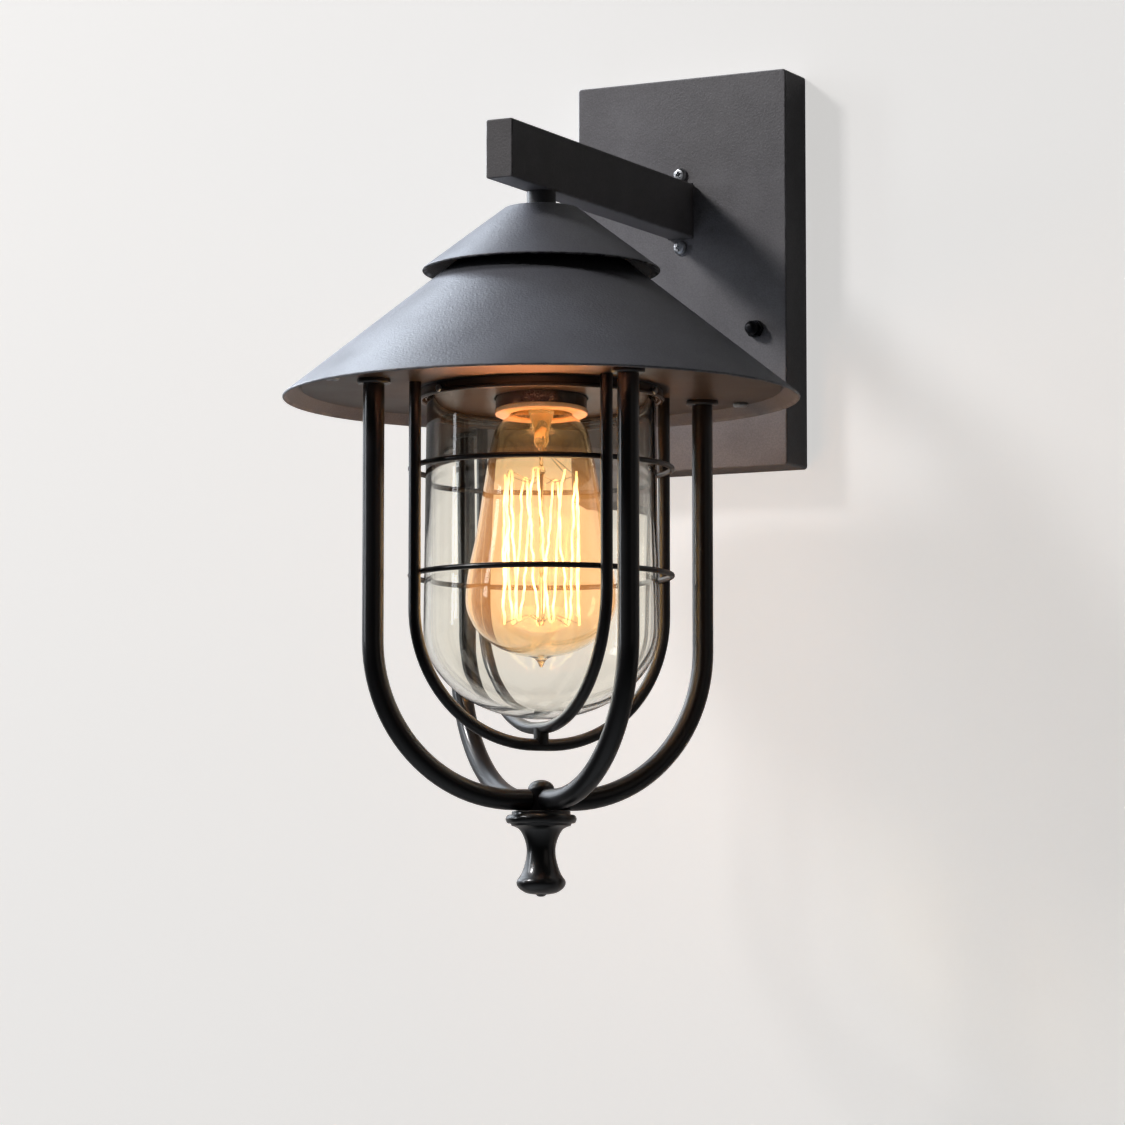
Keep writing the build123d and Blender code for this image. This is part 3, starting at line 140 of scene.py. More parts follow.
# Soft studio light: two cool windows to the left, smaller lights in front and low on the left, weak fill from
# the right and from behind, and the lamp's own warm light, most of it up and forward onto the base plate.
def soft_light(name, place, aim, width, height, power, colour):
    lamp = bpy.data.lights.new(name, "AREA")
    lamp.shape = "RECTANGLE"
    lamp.size = width
    lamp.size_y = height
    lamp.energy = power
    lamp.color = colour
    stand = bpy.data.objects.new(name, lamp)
    stand.location = place
    stand.rotation_euler = (Vector(aim) - Vector(place)).to_track_quat("-Z", "Y").to_euler()
    bpy.context.scene.collection.objects.link(stand)


LANTERN_MIDDLE = (0, -0.14, -0.08)
soft_light("window_low", (-1.82, 0.34, 0.60), LANTERN_MIDDLE, 0.6, 0.9, 47, (0.84, 0.91, 1.0))
soft_light("window_high", (-1.33, 0.34, 1.33), LANTERN_MIDDLE, 0.6, 0.6, 21, (0.80, 0.89, 1.0))
soft_light("front", (-1.12, -1.39, 1.01), LANTERN_MIDDLE, 0.32, 0.32, 15, (1.0, 0.98, 0.99))
soft_light("low_left", (-1.75, -0.96, 0.44), LANTERN_MIDDLE, 0.30, 1.1, 6, (0.90, 0.94, 1.0))
soft_light("fill", (1.9, -0.9, 0.3), LANTERN_MIDDLE, 1.2, 1.2, 0.4, (1.0, 0.90, 0.84))
soft_light("back_fill", (0.0, 2.2, -0.25), LANTERN_MIDDLE, 1.2, 1.2, 4, (1.0, 0.99, 0.97))
FILAMENT_MIDDLE = Vector((0, -0.1584, -0.136))
for name, power, cone, blend, colour, aim in (
    ("filament_all_round", 0.17, None, None, (1.0, 0.47, 0.20), (0, 0, 1)),
    ("filament_upward", 0.9, 80, 0.35, (1.0, 0.47, 0.20), (0, 0, 1)),
    ("filament_forward", 10.0, 46, 1.0, (1.0, 0.47, 0.28), (0.028, -0.0780, 0.067)),
):
    glow = bpy.data.objects.new(name, bpy.data.lights.new(name, "SPOT" if cone else "POINT"))
    glow.data.energy = power
    glow.data.color = colour
    glow.data.shadow_soft_size = 0.016 if cone else 0.022
    glow.location = FILAMENT_MIDDLE
    glow.rotation_euler = Vector(aim).to_track_quat("-Z", "Y").to_euler()
    glow.visible_camera = glow.visible_transmission = False
    glow.visible_glossy = not cone
    if cone:
        glow.data.spot_size = radians(cone)
        glow.data.spot_blend = blend
    bpy.context.scene.collection.objects.link(glow)
world = bpy.data.worlds.new("room")
world.use_nodes = True
nodes, links = world.node_tree.nodes, world.node_tree.links
nodes["Background"].inputs["Color"].default_value = (0.85, 0.86, 0.88, 1)
strength = nodes.new("ShaderNodeMapRange")
strength.inputs["To Min"].default_value = 0.014
strength.inputs["To Max"].default_value = 0.85
links.new(seen_straight(nodes, links), strength.inputs["Value"])
links.new(strength.outputs["Result"], nodes["Background"].inputs["Strength"])
bpy.context.scene.world = world
bpy.context.scene.view_settings.view_transform = "Standard"


# Wall plate: a box folded from 1.5 mm steel sheet, open at the back, in charcoal powder coat. The coat has
# an orange-peel skin, cloudy tone, rubbed edges and a little pale dust where a face looks up.
def span(nodes, links, value, low, high, to_low, to_high):
    reach = nodes.new("ShaderNodeMapRange")
    reach.interpolation_type = "SMOOTHSTEP"
    for label, amount in (("From Min", low), ("From Max", high), ("To Min", to_low), ("To Max", to_high)):
        reach.inputs[label].default_value = amount
    links.new(value, reach.inputs["Value"])
    return reach.outputs["Result"]


def along(nodes, links, vector, axis):
    """One coordinate of a vector."""
    split = nodes.new("ShaderNodeSeparateXYZ")
    links.new(vector, split.inputs["Vector"])
    return split.outputs[axis]


def scaled(nodes, links, colour, tone):
    paint = nodes.new("ShaderNodeVectorMath")
    paint.operation = "SCALE"
    paint.inputs[0].default_value = colour
    links.new(tone, paint.inputs["Scale"])
    return paint.outputs["Vector"]


def box_edges(nodes, links, place, low, high, reach):
    """1 on the edges of a box, 0 from reach inwards: the middle one of the three distances to its faces."""
    gaps = []
    for axis, a, b in zip("XYZ", low, high):
        here = along(nodes, links, place, axis)
        below = number(nodes, links, "SUBTRACT", here, a)
        above = number(nodes, links, "SUBTRACT", b, here)
        gaps.append(number(nodes, links, "MINIMUM", below, above))
    small = number(nodes, links, "MINIMUM", gaps[0], gaps[1])
    large = number(nodes, links, "MAXIMUM", gaps[0], gaps[1])
    middle = number(nodes, links, "MAXIMUM", small, number(nodes, links, "MINIMUM", large, gaps[2]))
    return span(nodes, links, middle, 0.0, reach, 1.0, 0.0)


def rim_edges(nodes, links, place, levels, reach):
    """1 at the given heights of a turned piece, 0 from reach above or below them."""
    nearest = None
    for height in levels:
        gap = number(nodes, links, "SUBTRACT", along(nodes, links, place, "Z"), height)
        gap = number(nodes, links, "ABSOLUTE", gap)
        nearest = gap if nearest is None else number(nodes, links, "MINIMUM", nearest, gap)
    return span(nodes, links, nearest, 0.0, reach, 1.0, 0.0)


def mixed(nodes, links, share, a, b):
    blend = nodes.new("ShaderNodeMix")
    blend.data_type = "RGBA"
    links.new(share, blend.inputs["Factor"])
    for label, value in (("A", a), ("B", b)):
        if isinstance(value, tuple):
            blend.inputs[label].default_value = (*value, 1)
        else:
            links.new(value, blend.inputs[label])
    return blend.outputs["Result"]


def powder_coat(name, colour, rough, peel=0.22, peel_size=900, dust=0.0, gloss=0.4, box=None, rims=(), worn=0.35,
                heat=None, scuffs=0.0, lacquer=0.0, under=1.0):
    """A cloudy, speckled coat with an orange-peel skin. It is rubbed by worn along the edges of a box or at rims,
    has painted shade inside the radius of an (axis, radius) given as heat, and painted shade with less sheen by
    under where it faces down, with fine strokes for scuffs."""
    made, nodes, links = new_material(name)
    place = nodes.new("ShaderNodeTexCoord").outputs["Object"]
    coat = nodes.new("ShaderNodeBsdfPrincipled")
    coat.inputs["Specular IOR Level"].default_value = gloss
    coat.inputs["Coat Weight"].default_value = lacquer
    coat.inputs["Coat Roughness"].default_value = 0.11
    facing_up = along(nodes, links, nodes.new("ShaderNodeNewGeometry").outputs["Normal"], "Z")
    clouds = noise_field(nodes, links, place, 26, 5, 0.6)
    speckle = noise_field(nodes, links, place, 1500, 1)
    tone = number(nodes, links, "MULTIPLY", span(nodes, links, clouds, 0.25, 0.75, 0.84, 1.14),
                  span(nodes, links, speckle, 0.2, 0.8, 0.90, 1.12))
    # Painted shade: the coat is darkened to 0.35 of its tone inside the given radius round the axis.
    if heat:
        axis, radius = heat
        offset, flat, away = (nodes.new("ShaderNodeVectorMath") for _ in range(3))
        offset.operation, flat.operation, away.operation = "SUBTRACT", "MULTIPLY", "LENGTH"
        offset.inputs[1].default_value = axis
        flat.inputs[1].default_value = (1, 1, 0)
        links.new(place, offset.inputs[0])
        links.new(offset.outputs["Vector"], flat.inputs[0])
        links.new(flat.outputs["Vector"], away.inputs[0])
        painted_shade_near_axis = span(nodes, links, away.outputs["Value"], radius - 0.003, radius, 0.35, 1.0)
        tone = number(nodes, links, "MULTIPLY", tone, painted_shade_near_axis)
    # Painted shade: faces that look down are darkened by under, and their sheen is cut the same way.
    if under < 1.0:
        inside = span(nodes, links, facing_up, -0.5, -0.1, under, 1.0)
        tone = number(nodes, links, "MULTIPLY", tone, inside)
        links.new(number(nodes, links, "MULTIPLY", inside, gloss), coat.inputs["Specular IOR Level"])
    skin = scaled(nodes, links, colour, tone)
    rubbed = span(nodes, links, clouds, 0.25, 0.75, rough - 0.04, rough + 0.05)
    if scuffs:
        drawn = nodes.new("ShaderNodeMapping")
        drawn.inputs["Rotation"].default_value = (0.5, 0.35, 0.6)
        drawn.inputs["Scale"].default_value = (60, 900, 60)
        links.new(place, drawn.inputs["Vector"])
        strokes = noise_field(nodes, links, drawn.outputs["Vector"], 1.0, 1)
        handled = noise_field(nodes, links, place, 21, 2)
        scuffed = number(nodes, links, "MULTIPLY", span(nodes, links, strokes, 0.66, 0.78, 0.0, 1.0),
                         span(nodes, links, handled, 0.48, 0.68, 0.0, scuffs))
        skin = mixed(nodes, links, scuffed, skin, tuple(min(0.5, 1.5 * c + 0.03) for c in colour))
        rubbed = number(nodes, links, "ADD", rubbed, number(nodes, links, "MULTIPLY", scuffed, 0.12))
    if box or rims:
        edge = (box_edges(nodes, links, place, *box, 0.0011) if box
                else rim_edges(nodes, links, place, rims, 0.0009))
        patches = span(nodes, links, noise_field(nodes, links, place, 160, 3), 0.35, 0.68, 0.0, 1.0)
        bare = number(nodes, links, "MULTIPLY", number(nodes, links, "MULTIPLY", edge, patches), worn)
        skin = mixed(nodes, links, bare, skin, tuple(min(0.5, 2.1 * c + 0.03) for c in colour))
        rubbed = number(nodes, links, "SUBTRACT", rubbed, number(nodes, links, "MULTIPLY", bare, 0.15))
    if dust:
        drift = span(nodes, links, noise_field(nodes, links, place, 70, 6, 0.7), 0.35, 0.75, 0.2, 1.0)
        cover = number(nodes, links, "MULTIPLY", span(nodes, links, facing_up, 0.15, 1.0, 0.0, dust), drift)
        skin = mixed(nodes, links, cover, skin, (0.40, 0.39, 0.37))
        rubbed = number(nodes, links, "ADD", rubbed, number(nodes, links, "MULTIPLY", cover, 0.5))
    fine = number(nodes, links, "MULTIPLY", speckle, 0.25)
    skin_height = number(nodes, links, "ADD", noise_field(nodes, links, place, peel_size), fine)
    bumped(nodes, links, skin_height, peel, 0.0003, coat)
    links.new(skin, coat.inputs["Base Color"])
    links.new(rubbed, coat.inputs["Roughness"])
    links.new(coat.outputs["BSDF"], nodes.new("ShaderNodeOutputMaterial").inputs["Surface"])
    return made


def finish(material, *names):
    """Gives a material to CAD nodes that stay as they are."""
    for name in names:
        if not node[name].material_slots:
            node[name].data.materials.append(material)
        for place in node[name].material_slots:
            place.material = material


plate_coat = powder_coat("plate_coat", (0.260, 0.250, 0.258), 0.46, peel=0.4, peel_size=1100, dust=0.2,
                         box=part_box("wall_plate"), worn=0.5, scuffs=0.5)
finish(plate_coat, "wall_plate")


# Bracket, studs and foot behind the plate: zinc-plated steel, with the pale blue cast and fine streaks that
# barrel plating leaves. Two black cap nuts hold the plate on the studs.
def plated(name, colour, rough):
    made, nodes, links = new_material(name)
    place = nodes.new("ShaderNodeTexCoord").outputs["Object"]
    metal = nodes.new("ShaderNodeBsdfPrincipled")
    metal.inputs["Metallic"].default_value = 1.0
    grain = noise_field(nodes, links, place, 420, 4)
    stain = noise_field(nodes, links, place, 55, 5, 0.65)
    tone = number(nodes, links, "MULTIPLY", span(nodes, links, grain, 0.2, 0.8, 0.84, 1.12),
                  span(nodes, links, stain, 0.35, 0.75, 1.05, 0.74))
    bumped(nodes, links, grain, 0.12, 0.0001, metal)
    links.new(scaled(nodes, links, colour, tone), metal.inputs["Base Color"])
    links.new(span(nodes, links, stain, 0.25, 0.8, rough - 0.05, rough + 0.13), metal.inputs["Roughness"])
    links.new(metal.outputs["BSDF"], nodes.new("ShaderNodeOutputMaterial").inputs["Surface"])
    return made


zinc = plated("zinc_plate", (0.64, 0.66, 0.68), 0.34)
finish(zinc, "wall_bracket", "cover_studs", "arm_foot", "threaded_tube", "tube_nut", "shade_bosses", "bar_nuts",
       "hoop_nuts")
black_zinc = plated("black_zinc", (0.030, 0.030, 0.032), 0.33)
finish(black_zinc, "cap_nut_left", "cap_nut_right")


# Screws of the arm's foot: two zinc-plated pan heads with a cross recess, one above and one below the arm.
# A head is turned and then punched; Geometry Nodes set the row of them round an axis.
def placed(name, made):
    """A mesh object from a bmesh, normals outwards."""
    bmesh.ops.recalc_face_normals(made, faces=made.faces)
    mesh = bpy.data.meshes.new(name)
    made.to_mesh(mesh)
    made.free()
    piece = bpy.data.objects.new(name, mesh)
    bpy.context.scene.collection.objects.link(piece)
    return piece


def turned(outline, sides, middle_y=0.0, closed=False):
    """An outline of (radius, height) in mm turned round an upright axis; closed joins its end to its start."""
    made = bmesh.new()
    loops = []
    for r, z in outline:
        if r < 1e-6:
            loops.append([made.verts.new((0, middle_y / 1000, z / 1000))])
            continue
        loops.append([])
        for s in range(sides):
            angle = 2 * pi * s / sides
            spot = (r * cos(angle) / 1000, (middle_y + r * sin(angle)) / 1000, z / 1000)
            loops[-1].append(made.verts.new(spot))
    for lower, upper in zip(loops, loops[1:] + loops[:1] * closed):
        for s in range(sides):
            corners = []
            for loop, step in ((lower, s), (lower, s + 1), (upper, s + 1), (upper, s)):
                corner = loop[step % len(loop)]
                if corner not in corners:
                    corners.append(corner)
            if len(corners) > 2:
                made.faces.new(corners)
    return made


def turned_head(name, outline, recess, slots, sides=72):
    """A screw head on its axis, +Z outwards: outline is (radius, height) in mm, each slot (length, width, angle)."""
    head = placed(name, turned(outline, sides))
    top = max(z for r, z in outline)
    for length, width, angle in slots:
        wedge = bmesh.new()
        turn = Matrix.Rotation(radians(angle), 4, "Z")
        ring = []
        for z, share in ((top - recess, 0.55), (top + 0.5, 1.06)):
            half_long, half_wide = length / 2 * share, width / 2 * (0.75 + 0.25 * share)
            ring.append([
                wedge.verts.new(turn @ Vector((x * half_long / 1000, y * half_wide / 1000, z / 1000)))
                for x, y in ((-1, -1), (1, -1), (1, 1), (-1, 1))
            ])
        wedge.faces.new(ring[0][::-1])
        wedge.faces.new(ring[1])
        for s in range(4):
            wedge.faces.new((ring[0][s], ring[0][(s + 1) % 4], ring[1][(s + 1) % 4], ring[1][s]))
        punch = placed("punch", wedge)
        cut = head.modifiers.new("punch", "BOOLEAN")
        cut.operation, cut.solver, cut.object = "DIFFERENCE", "EXACT", punch
        punched = bpy.data.meshes.new_from_object(head.evaluated_get(bpy.context.evaluated_depsgraph_get()))
        head.modifiers.remove(cut)
        head.data = punched
        bpy.data.objects.remove(punch)
    return head


def new_tree(name, sizes):
    tree = bpy.data.node_groups.new(name, "GeometryNodeTree")
    tree.interface.new_socket("Geometry", in_out="INPUT", socket_type="NodeSocketGeometry")
    for label, (kind, _) in sizes.items():
        tree.interface.new_socket(label, in_out="INPUT", socket_type=kind)
    tree.interface.new_socket("Geometry", in_out="OUTPUT", socket_type="NodeSocketGeometry")
    return tree, tree.nodes.new("NodeGroupInput"), tree.nodes.new("NodeGroupOutput")


def end_tree(tree, given, given_back, shape, smooth=True):
    """Realize Instances, shading and Set Material, which every tree here ends in."""
    real = tree.nodes.new("GeometryNodeRealizeInstances")
    coat = tree.nodes.new("GeometryNodeSetMaterial")
    tree.links.new(shape, real.inputs["Geometry"])
    last = real.outputs["Geometry"]
    if smooth:
        shaded = tree.nodes.new("GeometryNodeSetShadeSmooth")
        tree.links.new(last, shaded.inputs["Geometry"])
        last = shaded.outputs["Geometry"]
    tree.links.new(last, coat.inputs["Geometry"])
    tree.links.new(given.outputs["Material"], coat.inputs["Material"])
    tree.links.new(coat.outputs["Geometry"], given_back.inputs["Geometry"])


def round_axis(tree, given, shape):
    """Copies of a shape turned round an axis: First Angle, then one Step Angle each, at Place, tilted by Tilt."""
    add, join = tree.nodes.new, tree.links.new
    row, index = add("GeometryNodeMeshLine"), add("GeometryNodeInputIndex")
    row.inputs["Offset"].default_value = (0, 0, 0)
    turn, angles = add("ShaderNodeMath"), add("ShaderNodeCombineXYZ")
    turn.operation = "MULTIPLY_ADD"
    copies, moved = add("GeometryNodeInstanceOnPoints"), add("GeometryNodeTransform")
    join(given.outputs["Count"], row.inputs["Count"])
    join(row.outputs["Mesh"], copies.inputs["Points"])
    join(shape, copies.inputs["Instance"])
    join(index.outputs["Index"], turn.inputs[0])
    join(given.outputs["Step Angle"], turn.inputs[1])
    join(given.outputs["First Angle"], turn.inputs[2])
    join(turn.outputs["Value"], angles.inputs["Z"])
    join(angles.outputs["Vector"], copies.inputs["Rotation"])
    join(copies.outputs["Instances"], moved.inputs["Geometry"])
    join(given.outputs["Place"], moved.inputs["Translation"])
    join(given.outputs["Tilt"], moved.inputs["Rotation"])
    return moved.outputs["Geometry"]


def row_sizes(count, first, step, place, tilt, material):
    return {
        "Count": ("NodeSocketInt", count),
        "First Angle": ("NodeSocketFloat", radians(first)),
        "Step Angle": ("NodeSocketFloat", radians(step)),
        "Place": ("NodeSocketVector", place),
        "Tilt": ("NodeSocketVector", tilt),
        "Material": ("NodeSocketMaterial", material),
    }


def grown(name, stock_data, tree, sizes):
    """Runs a tree on an object and keeps its result as a plain mesh."""
    stock = bpy.data.objects.new(name + "_stock", stock_data)
    bpy.context.scene.collection.objects.link(stock)
    maker = stock.modifiers.new("tree", "NODES")
    maker.node_group = tree
    for item in tree.interface.items_tree:
        if item.in_out == "INPUT" and item.name in sizes:
            maker[item.identifier] = sizes[item.name][1]
    stock.update_tag()
    mesh = bpy.data.meshes.new_from_object(stock.evaluated_get(bpy.context.evaluated_depsgraph_get()))
    mesh.name = name
    stock.modifiers.remove(maker)
    bpy.data.objects.remove(stock)
    piece = bpy.data.objects.new(name, mesh)
    bpy.context.scene.collection.objects.link(piece)
    return piece


def set_heads(name, head, radius, height, lean, row, sharp=32):
    """Heads round an axis, each Circle Radius out and Height up it, leaned from +Z."""
    sizes = {
        "Fastener": ("NodeSocketObject", head),
        "Circle Radius": ("NodeSocketFloat", radius / 1000),
        "Height": ("NodeSocketFloat", height / 1000),
        "Lean": ("NodeSocketFloat", radians(lean)),
        **row,
    }
    tree, given, given_back = new_tree(name + "_tree", sizes)
    add, join = tree.nodes.new, tree.links.new
    fetched, set_out = add("GeometryNodeObjectInfo"), add("GeometryNodeTransform")
    leaned, out = add("ShaderNodeCombineXYZ"), add("ShaderNodeCombineXYZ")
    join(given.outputs["Fastener"], fetched.inputs["Object"])
    join(given.outputs["Lean"], leaned.inputs["Y"])
    join(given.outputs["Circle Radius"], out.inputs["X"])
    join(given.outputs["Height"], out.inputs["Z"])
    join(fetched.outputs["Geometry"], set_out.inputs["Geometry"])
    join(leaned.outputs["Vector"], set_out.inputs["Rotation"])
    join(out.outputs["Vector"], set_out.inputs["Translation"])
    end_tree(tree, given, given_back, round_axis(tree, given, set_out.outputs["Geometry"]), smooth=False)
    piece = grown(name, bpy.data.meshes.new(name + "_stock"), tree, sizes)
    bpy.data.objects.remove(head)
    piece.data.shade_smooth()
    piece.data.set_sharp_from_angle(angle=radians(sharp))
    return piece


def fit(piece, body, slot, *nodes_replaced, material=None):
    if material:
        piece.data.materials.clear()
        piece.data.materials.append(material)
    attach(piece, body)
    if nodes_replaced:
        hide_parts(*nodes_replaced)
    return piece


def pan_head(radius, height, edge, shank, depth):
    """Outline of a pan head and its shank, from the shank's end out to the head's top."""
    bend = []
    for step in range(9):
        angle = pi / 2 * step / 8
        bend.append((radius - edge + edge * cos(angle), height - edge + edge * sin(angle)))
    under = [(0, -depth), (shank, -depth), (shank, 0), (radius - 0.15, 0), (radius, 0.15)]
    return under + bend + [(radius * 0.4, height + 0.06), (0, height + 0.08)]


ARM_Z, PLATE_FRONT, FOOT_SCREW_OUT = 28.7, 22.2, 16.8
foot_screws = set_heads(
    "arm_foot_screws_punched",
    turned_head("foot_head", pan_head(3.2, 2.1, 1.35, 2.0, 5.0), 1.25, ((3.5, 0.95, 12), (3.5, 0.95, 102))),
    FOOT_SCREW_OUT, PLATE_FRONT, 0, row_sizes(2, 90, 180, (0, 0, ARM_Z / 1000), (pi / 2, 0, 0), zinc),
)
fit(foot_screws, "root", "zinc_steel", "arm_foot_screws")


# Arm, end cap and neck: rectangular steel tube with its end welded shut, ground flush and coated with the
# plate. The neck is a turned boss welded under it.
ARM_SIDE, ARM_END, ARM_UNDER, ARM_TOP, ARM_BACK, NECK_END = 6.25, -196.6, 16.2, 41.2, 50.0, 9.1
arm_box = (Vector((-ARM_SIDE, ARM_END, ARM_UNDER)) / 1000, Vector((ARM_SIDE, ARM_BACK, ARM_TOP)) / 1000)
# The arm's coat is a darker copy of the plate's, painted shade on the arm; the neck's coat, darker still, is painted
# shade under it.
arm_coat = powder_coat("arm_coat", (0.180, 0.170, 0.170), 0.46, peel=0.4, peel_size=1100, dust=0.3, box=arm_box,
                       worn=0.55, scuffs=0.5)
finish(arm_coat, "arm_tube", "arm_end_cap")
neck_coat = powder_coat("neck_coat", (0.085, 0.083, 0.082), 0.45, peel=0.25,
                        rims=(ARM_UNDER / 1000, NECK_END / 1000), worn=0.3)
finish(neck_coat, "neck")


# Roof cap and shade: 1.2 mm steel spun over a former into cones with a round shoulder, powder coated satin
# grey, with painted shade inside the cap and on the shade under it. Both are clamped on the threaded tube with a
# black spacer between them.
LAMP_Y = -158.4
LAMP_AXIS = (0, LAMP_Y / 1000, 0)
ROOF_TOP, ROOF_RIM, SHADE_TOP, SHADE_RIM, TUBE_HOLE = 9.1, -17.8, -4.5, -72.5, 5.1


def rounded(corners, steps=6):
    """An outline of (radius, height) from corners of (radius, height, corner radius), in mm."""
    line = []
    for here, (r, z, bend) in enumerate(corners):
        if not bend:
            line.append((r, z))
            continue
        corner = Vector((r, z))
        before = (Vector(corners[here - 1][:2]) - corner).normalized()
        after = (Vector(corners[(here + 1) % len(corners)][:2]) - corner).normalized()
        half = before.angle(after) / 2
        middle = corner + (before + after).normalized() * bend / sin(half)
        reach = bend * cos(half) / sin(half)
        start, end = corner + before * reach - middle, corner + after * reach - middle
        for step in range(steps + 1):
            spoke = start.slerp(end, step / steps) if start.angle(end) > 1e-4 else start
            line.append(tuple(middle + spoke.normalized() * bend))
    return line


def swept(name, outline, sides=160, sharp=35):
    """A closed outline swept round the lantern's axis, with edges over sharp degrees left sharp."""
    rings = turned(outline, sides, LAMP_Y, closed=True)
    bmesh.ops.remove_doubles(rings, verts=rings.verts, dist=1e-7)
    piece = placed(name, rings)
    piece.data.shade_smooth()
    piece.data.set_sharp_from_angle(angle=radians(sharp))
    return piece


def spun(name, top_radius, top, rim_radius, rim, sheet=1.2):
    """A cone of sheet metal with a flat top, a hole for the tube and a round shoulder."""
    slope = Vector((rim_radius - top_radius, rim - top)).normalized()
    inward = Vector((slope.y, -slope.x)) * sheet
    bend = Vector((1, 0)).angle(slope)
    tight = sheet * (1 - cos(bend)) / sin(bend)
    return swept(name, rounded([
        (TUBE_HOLE, top, 0),
        (top_radius, top, 2.5),
        (rim_radius, rim, 0.5),
        (rim_radius + inward.x, rim + inward.y, 0.5),
        (top_radius - tight, top - sheet, 1.3),
        (TUBE_HOLE, top - sheet, 0),
    ]), 256)


satin_grey = {"colour": (0.245, 0.250, 0.285), "rough": 0.38, "peel": 0.55, "peel_size": 1000, "dust": 0.12,
              "gloss": 0.6, "worn": 0.5, "scuffs": 0.45}
# The cap's downward faces, its inside, are painted near black as shade.
roof_coat = powder_coat("roof_coat", **satin_grey, rims=(ROOF_RIM / 1000 - 0.0003,), under=0.08)
# Within 50.5 mm of the axis, under the cap, the shade is painted darker as the cap's shadow.
shade_coat = powder_coat("shade_coat", **satin_grey, rims=(SHADE_RIM / 1000 - 0.0003,), heat=(LAMP_AXIS, 0.0505))
fit(spun("roof_cap_spun", 15.5, ROOF_TOP, 50.9, ROOF_RIM), "root", "shade_coat", "roof_cap", material=roof_coat)
fit(spun("shade_spun", 24.0, SHADE_TOP, 110.0, SHADE_RIM), "root", "shade_coat", "shade", material=shade_coat)
cage_coat = powder_coat("cage_coat", (0.0085, 0.0080, 0.0088), 0.325, peel=0.06, peel_size=600, gloss=0.6, dust=0.03,
                        lacquer=0.6)
finish(cage_coat, "roof_spacer")


# Base plate: a flat disc recessed in the shade's mouth, held by four pan-head screws, in a satin dark coat
# that picks up the lamp's light. The low collar under it has a rolled lower edge and three set screws.
def on_axis(count, first, step, material):
    return row_sizes(count, first, step, LAMP_AXIS, (0, 0, 0), material)


BASE_UNDER, BASE_SCREW_CIRCLE, SET_SCREW_CIRCLE, SET_SCREW_Z, FIRST_BAR = -69.1, 97.15, 52.0, -72.1, 54.7
# Inside the jar's mouth, within 49.5 mm of the axis, the coat is painted darker as shade.
base_coat = powder_coat("base_coat", (0.058, 0.046, 0.038), 0.34, peel=0.12, gloss=0.9, heat=(LAMP_AXIS, 0.0495))
finish(base_coat, "base_plate")
base_screws = set_heads(
    "base_screws_punched",
    turned_head("base_head", pan_head(3.2, 1.7, 1.15, 1.7, 3.5), 1.05, ((3.4, 0.9, 20), (3.4, 0.9, 110))),
    BASE_SCREW_CIRCLE, BASE_UNDER, 180, on_axis(4, FIRST_BAR, 90, zinc),
)
fit(base_screws, "root", "zinc_steel", "base_screws")
collar_coat = powder_coat("collar_coat", (0.030, 0.025, 0.022), 0.22, peel=0.12, gloss=0.6)
collar = swept("jar_collar_rolled", rounded([
    (50.3, BASE_UNDER, 0), (51.5, BASE_UNDER, 0), (51.5, -72.2, 0.3), (52.15, -72.5, 0.35), (52.3, -73.3, 0.5),
    (51.7, -73.95, 0.45), (50.7, -73.95, 0.3), (50.3, -73.4, 0.3),
], 5), 192)
fit(collar, "root", "base_coat", "jar_collar", material=collar_coat)
set_screws = set_heads(
    "set_screws_slotted",
    turned_head("set_head", [
        (0, -2.9), (1.0, -2.9), (1.0, 0), (1.4, 0), (1.5, 0.1), (1.5, 0.9), (1.3, 1.15), (0, 1.2),
    ], 0.55, ((3.4, 0.45, 35),), 48),
    SET_SCREW_CIRCLE, SET_SCREW_Z, 90, on_axis(3, 3, 120, zinc),
)
fit(set_screws, "root", "zinc_steel", "set_screws")


# Glass jar: clear blown glass, 3 mm thick, with faint waves, a grooved lip and a domed bottom. The set
# screws hold it by the groove, and a rubber ring keeps it off the steel.
def clear_glass(name, colour, rough, wave, wave_size, glow_colour=None, glow_strength=0.0, glow_span=None):
    """Glass that lets light through to what it holds; glow_span gives four heights between which it glows."""
    made, nodes, links = new_material(name)
    place = nodes.new("ShaderNodeTexCoord").outputs["Object"]
    glass = nodes.new("ShaderNodeBsdfPrincipled")
    glass.inputs["Base Color"].default_value = (*colour, 1)
    glass.inputs["Roughness"].default_value = rough
    glass.inputs["IOR"].default_value = 1.46
    glass.inputs["Transmission Weight"].default_value = 1.0
    drawn = nodes.new("ShaderNodeMapping")
    drawn.inputs["Scale"].default_value = (1.0, 1.0, 0.35)
    links.new(place, drawn.inputs["Vector"])
    bumped(nodes, links, noise_field(nodes, links, drawn.outputs["Vector"], wave_size, 1.5), wave, 0.0012, glass)
    if glow_colour:
        glass.inputs["Emission Color"].default_value = (*glow_colour, 1)
        height = along(nodes, links, place, "Z")
        below = span(nodes, links, height, glow_span[0], glow_span[1], 0.0, 1.0)
        above = span(nodes, links, height, glow_span[2], glow_span[3], 1.0, 0.0)
        warm = number(nodes, links, "MULTIPLY", number(nodes, links, "MULTIPLY", below, above), glow_strength)
        links.new(warm, glass.inputs["Emission Strength"])
    clear = nodes.new("ShaderNodeBsdfTransparent")
    clear.inputs["Color"].default_value = (*(0.5 + 0.5 * c for c in colour), 1)
    lit = nodes.new("ShaderNodeMixShader")
    links.new(nodes.new("ShaderNodeLightPath").outputs["Is Shadow Ray"], lit.inputs["Fac"])
    links.new(glass.outputs["BSDF"], lit.inputs[1])
    links.new(clear.outputs["BSDF"], lit.inputs[2])
    links.new(lit.outputs["Shader"], nodes.new("ShaderNodeOutputMaterial").inputs["Surface"])
    return made


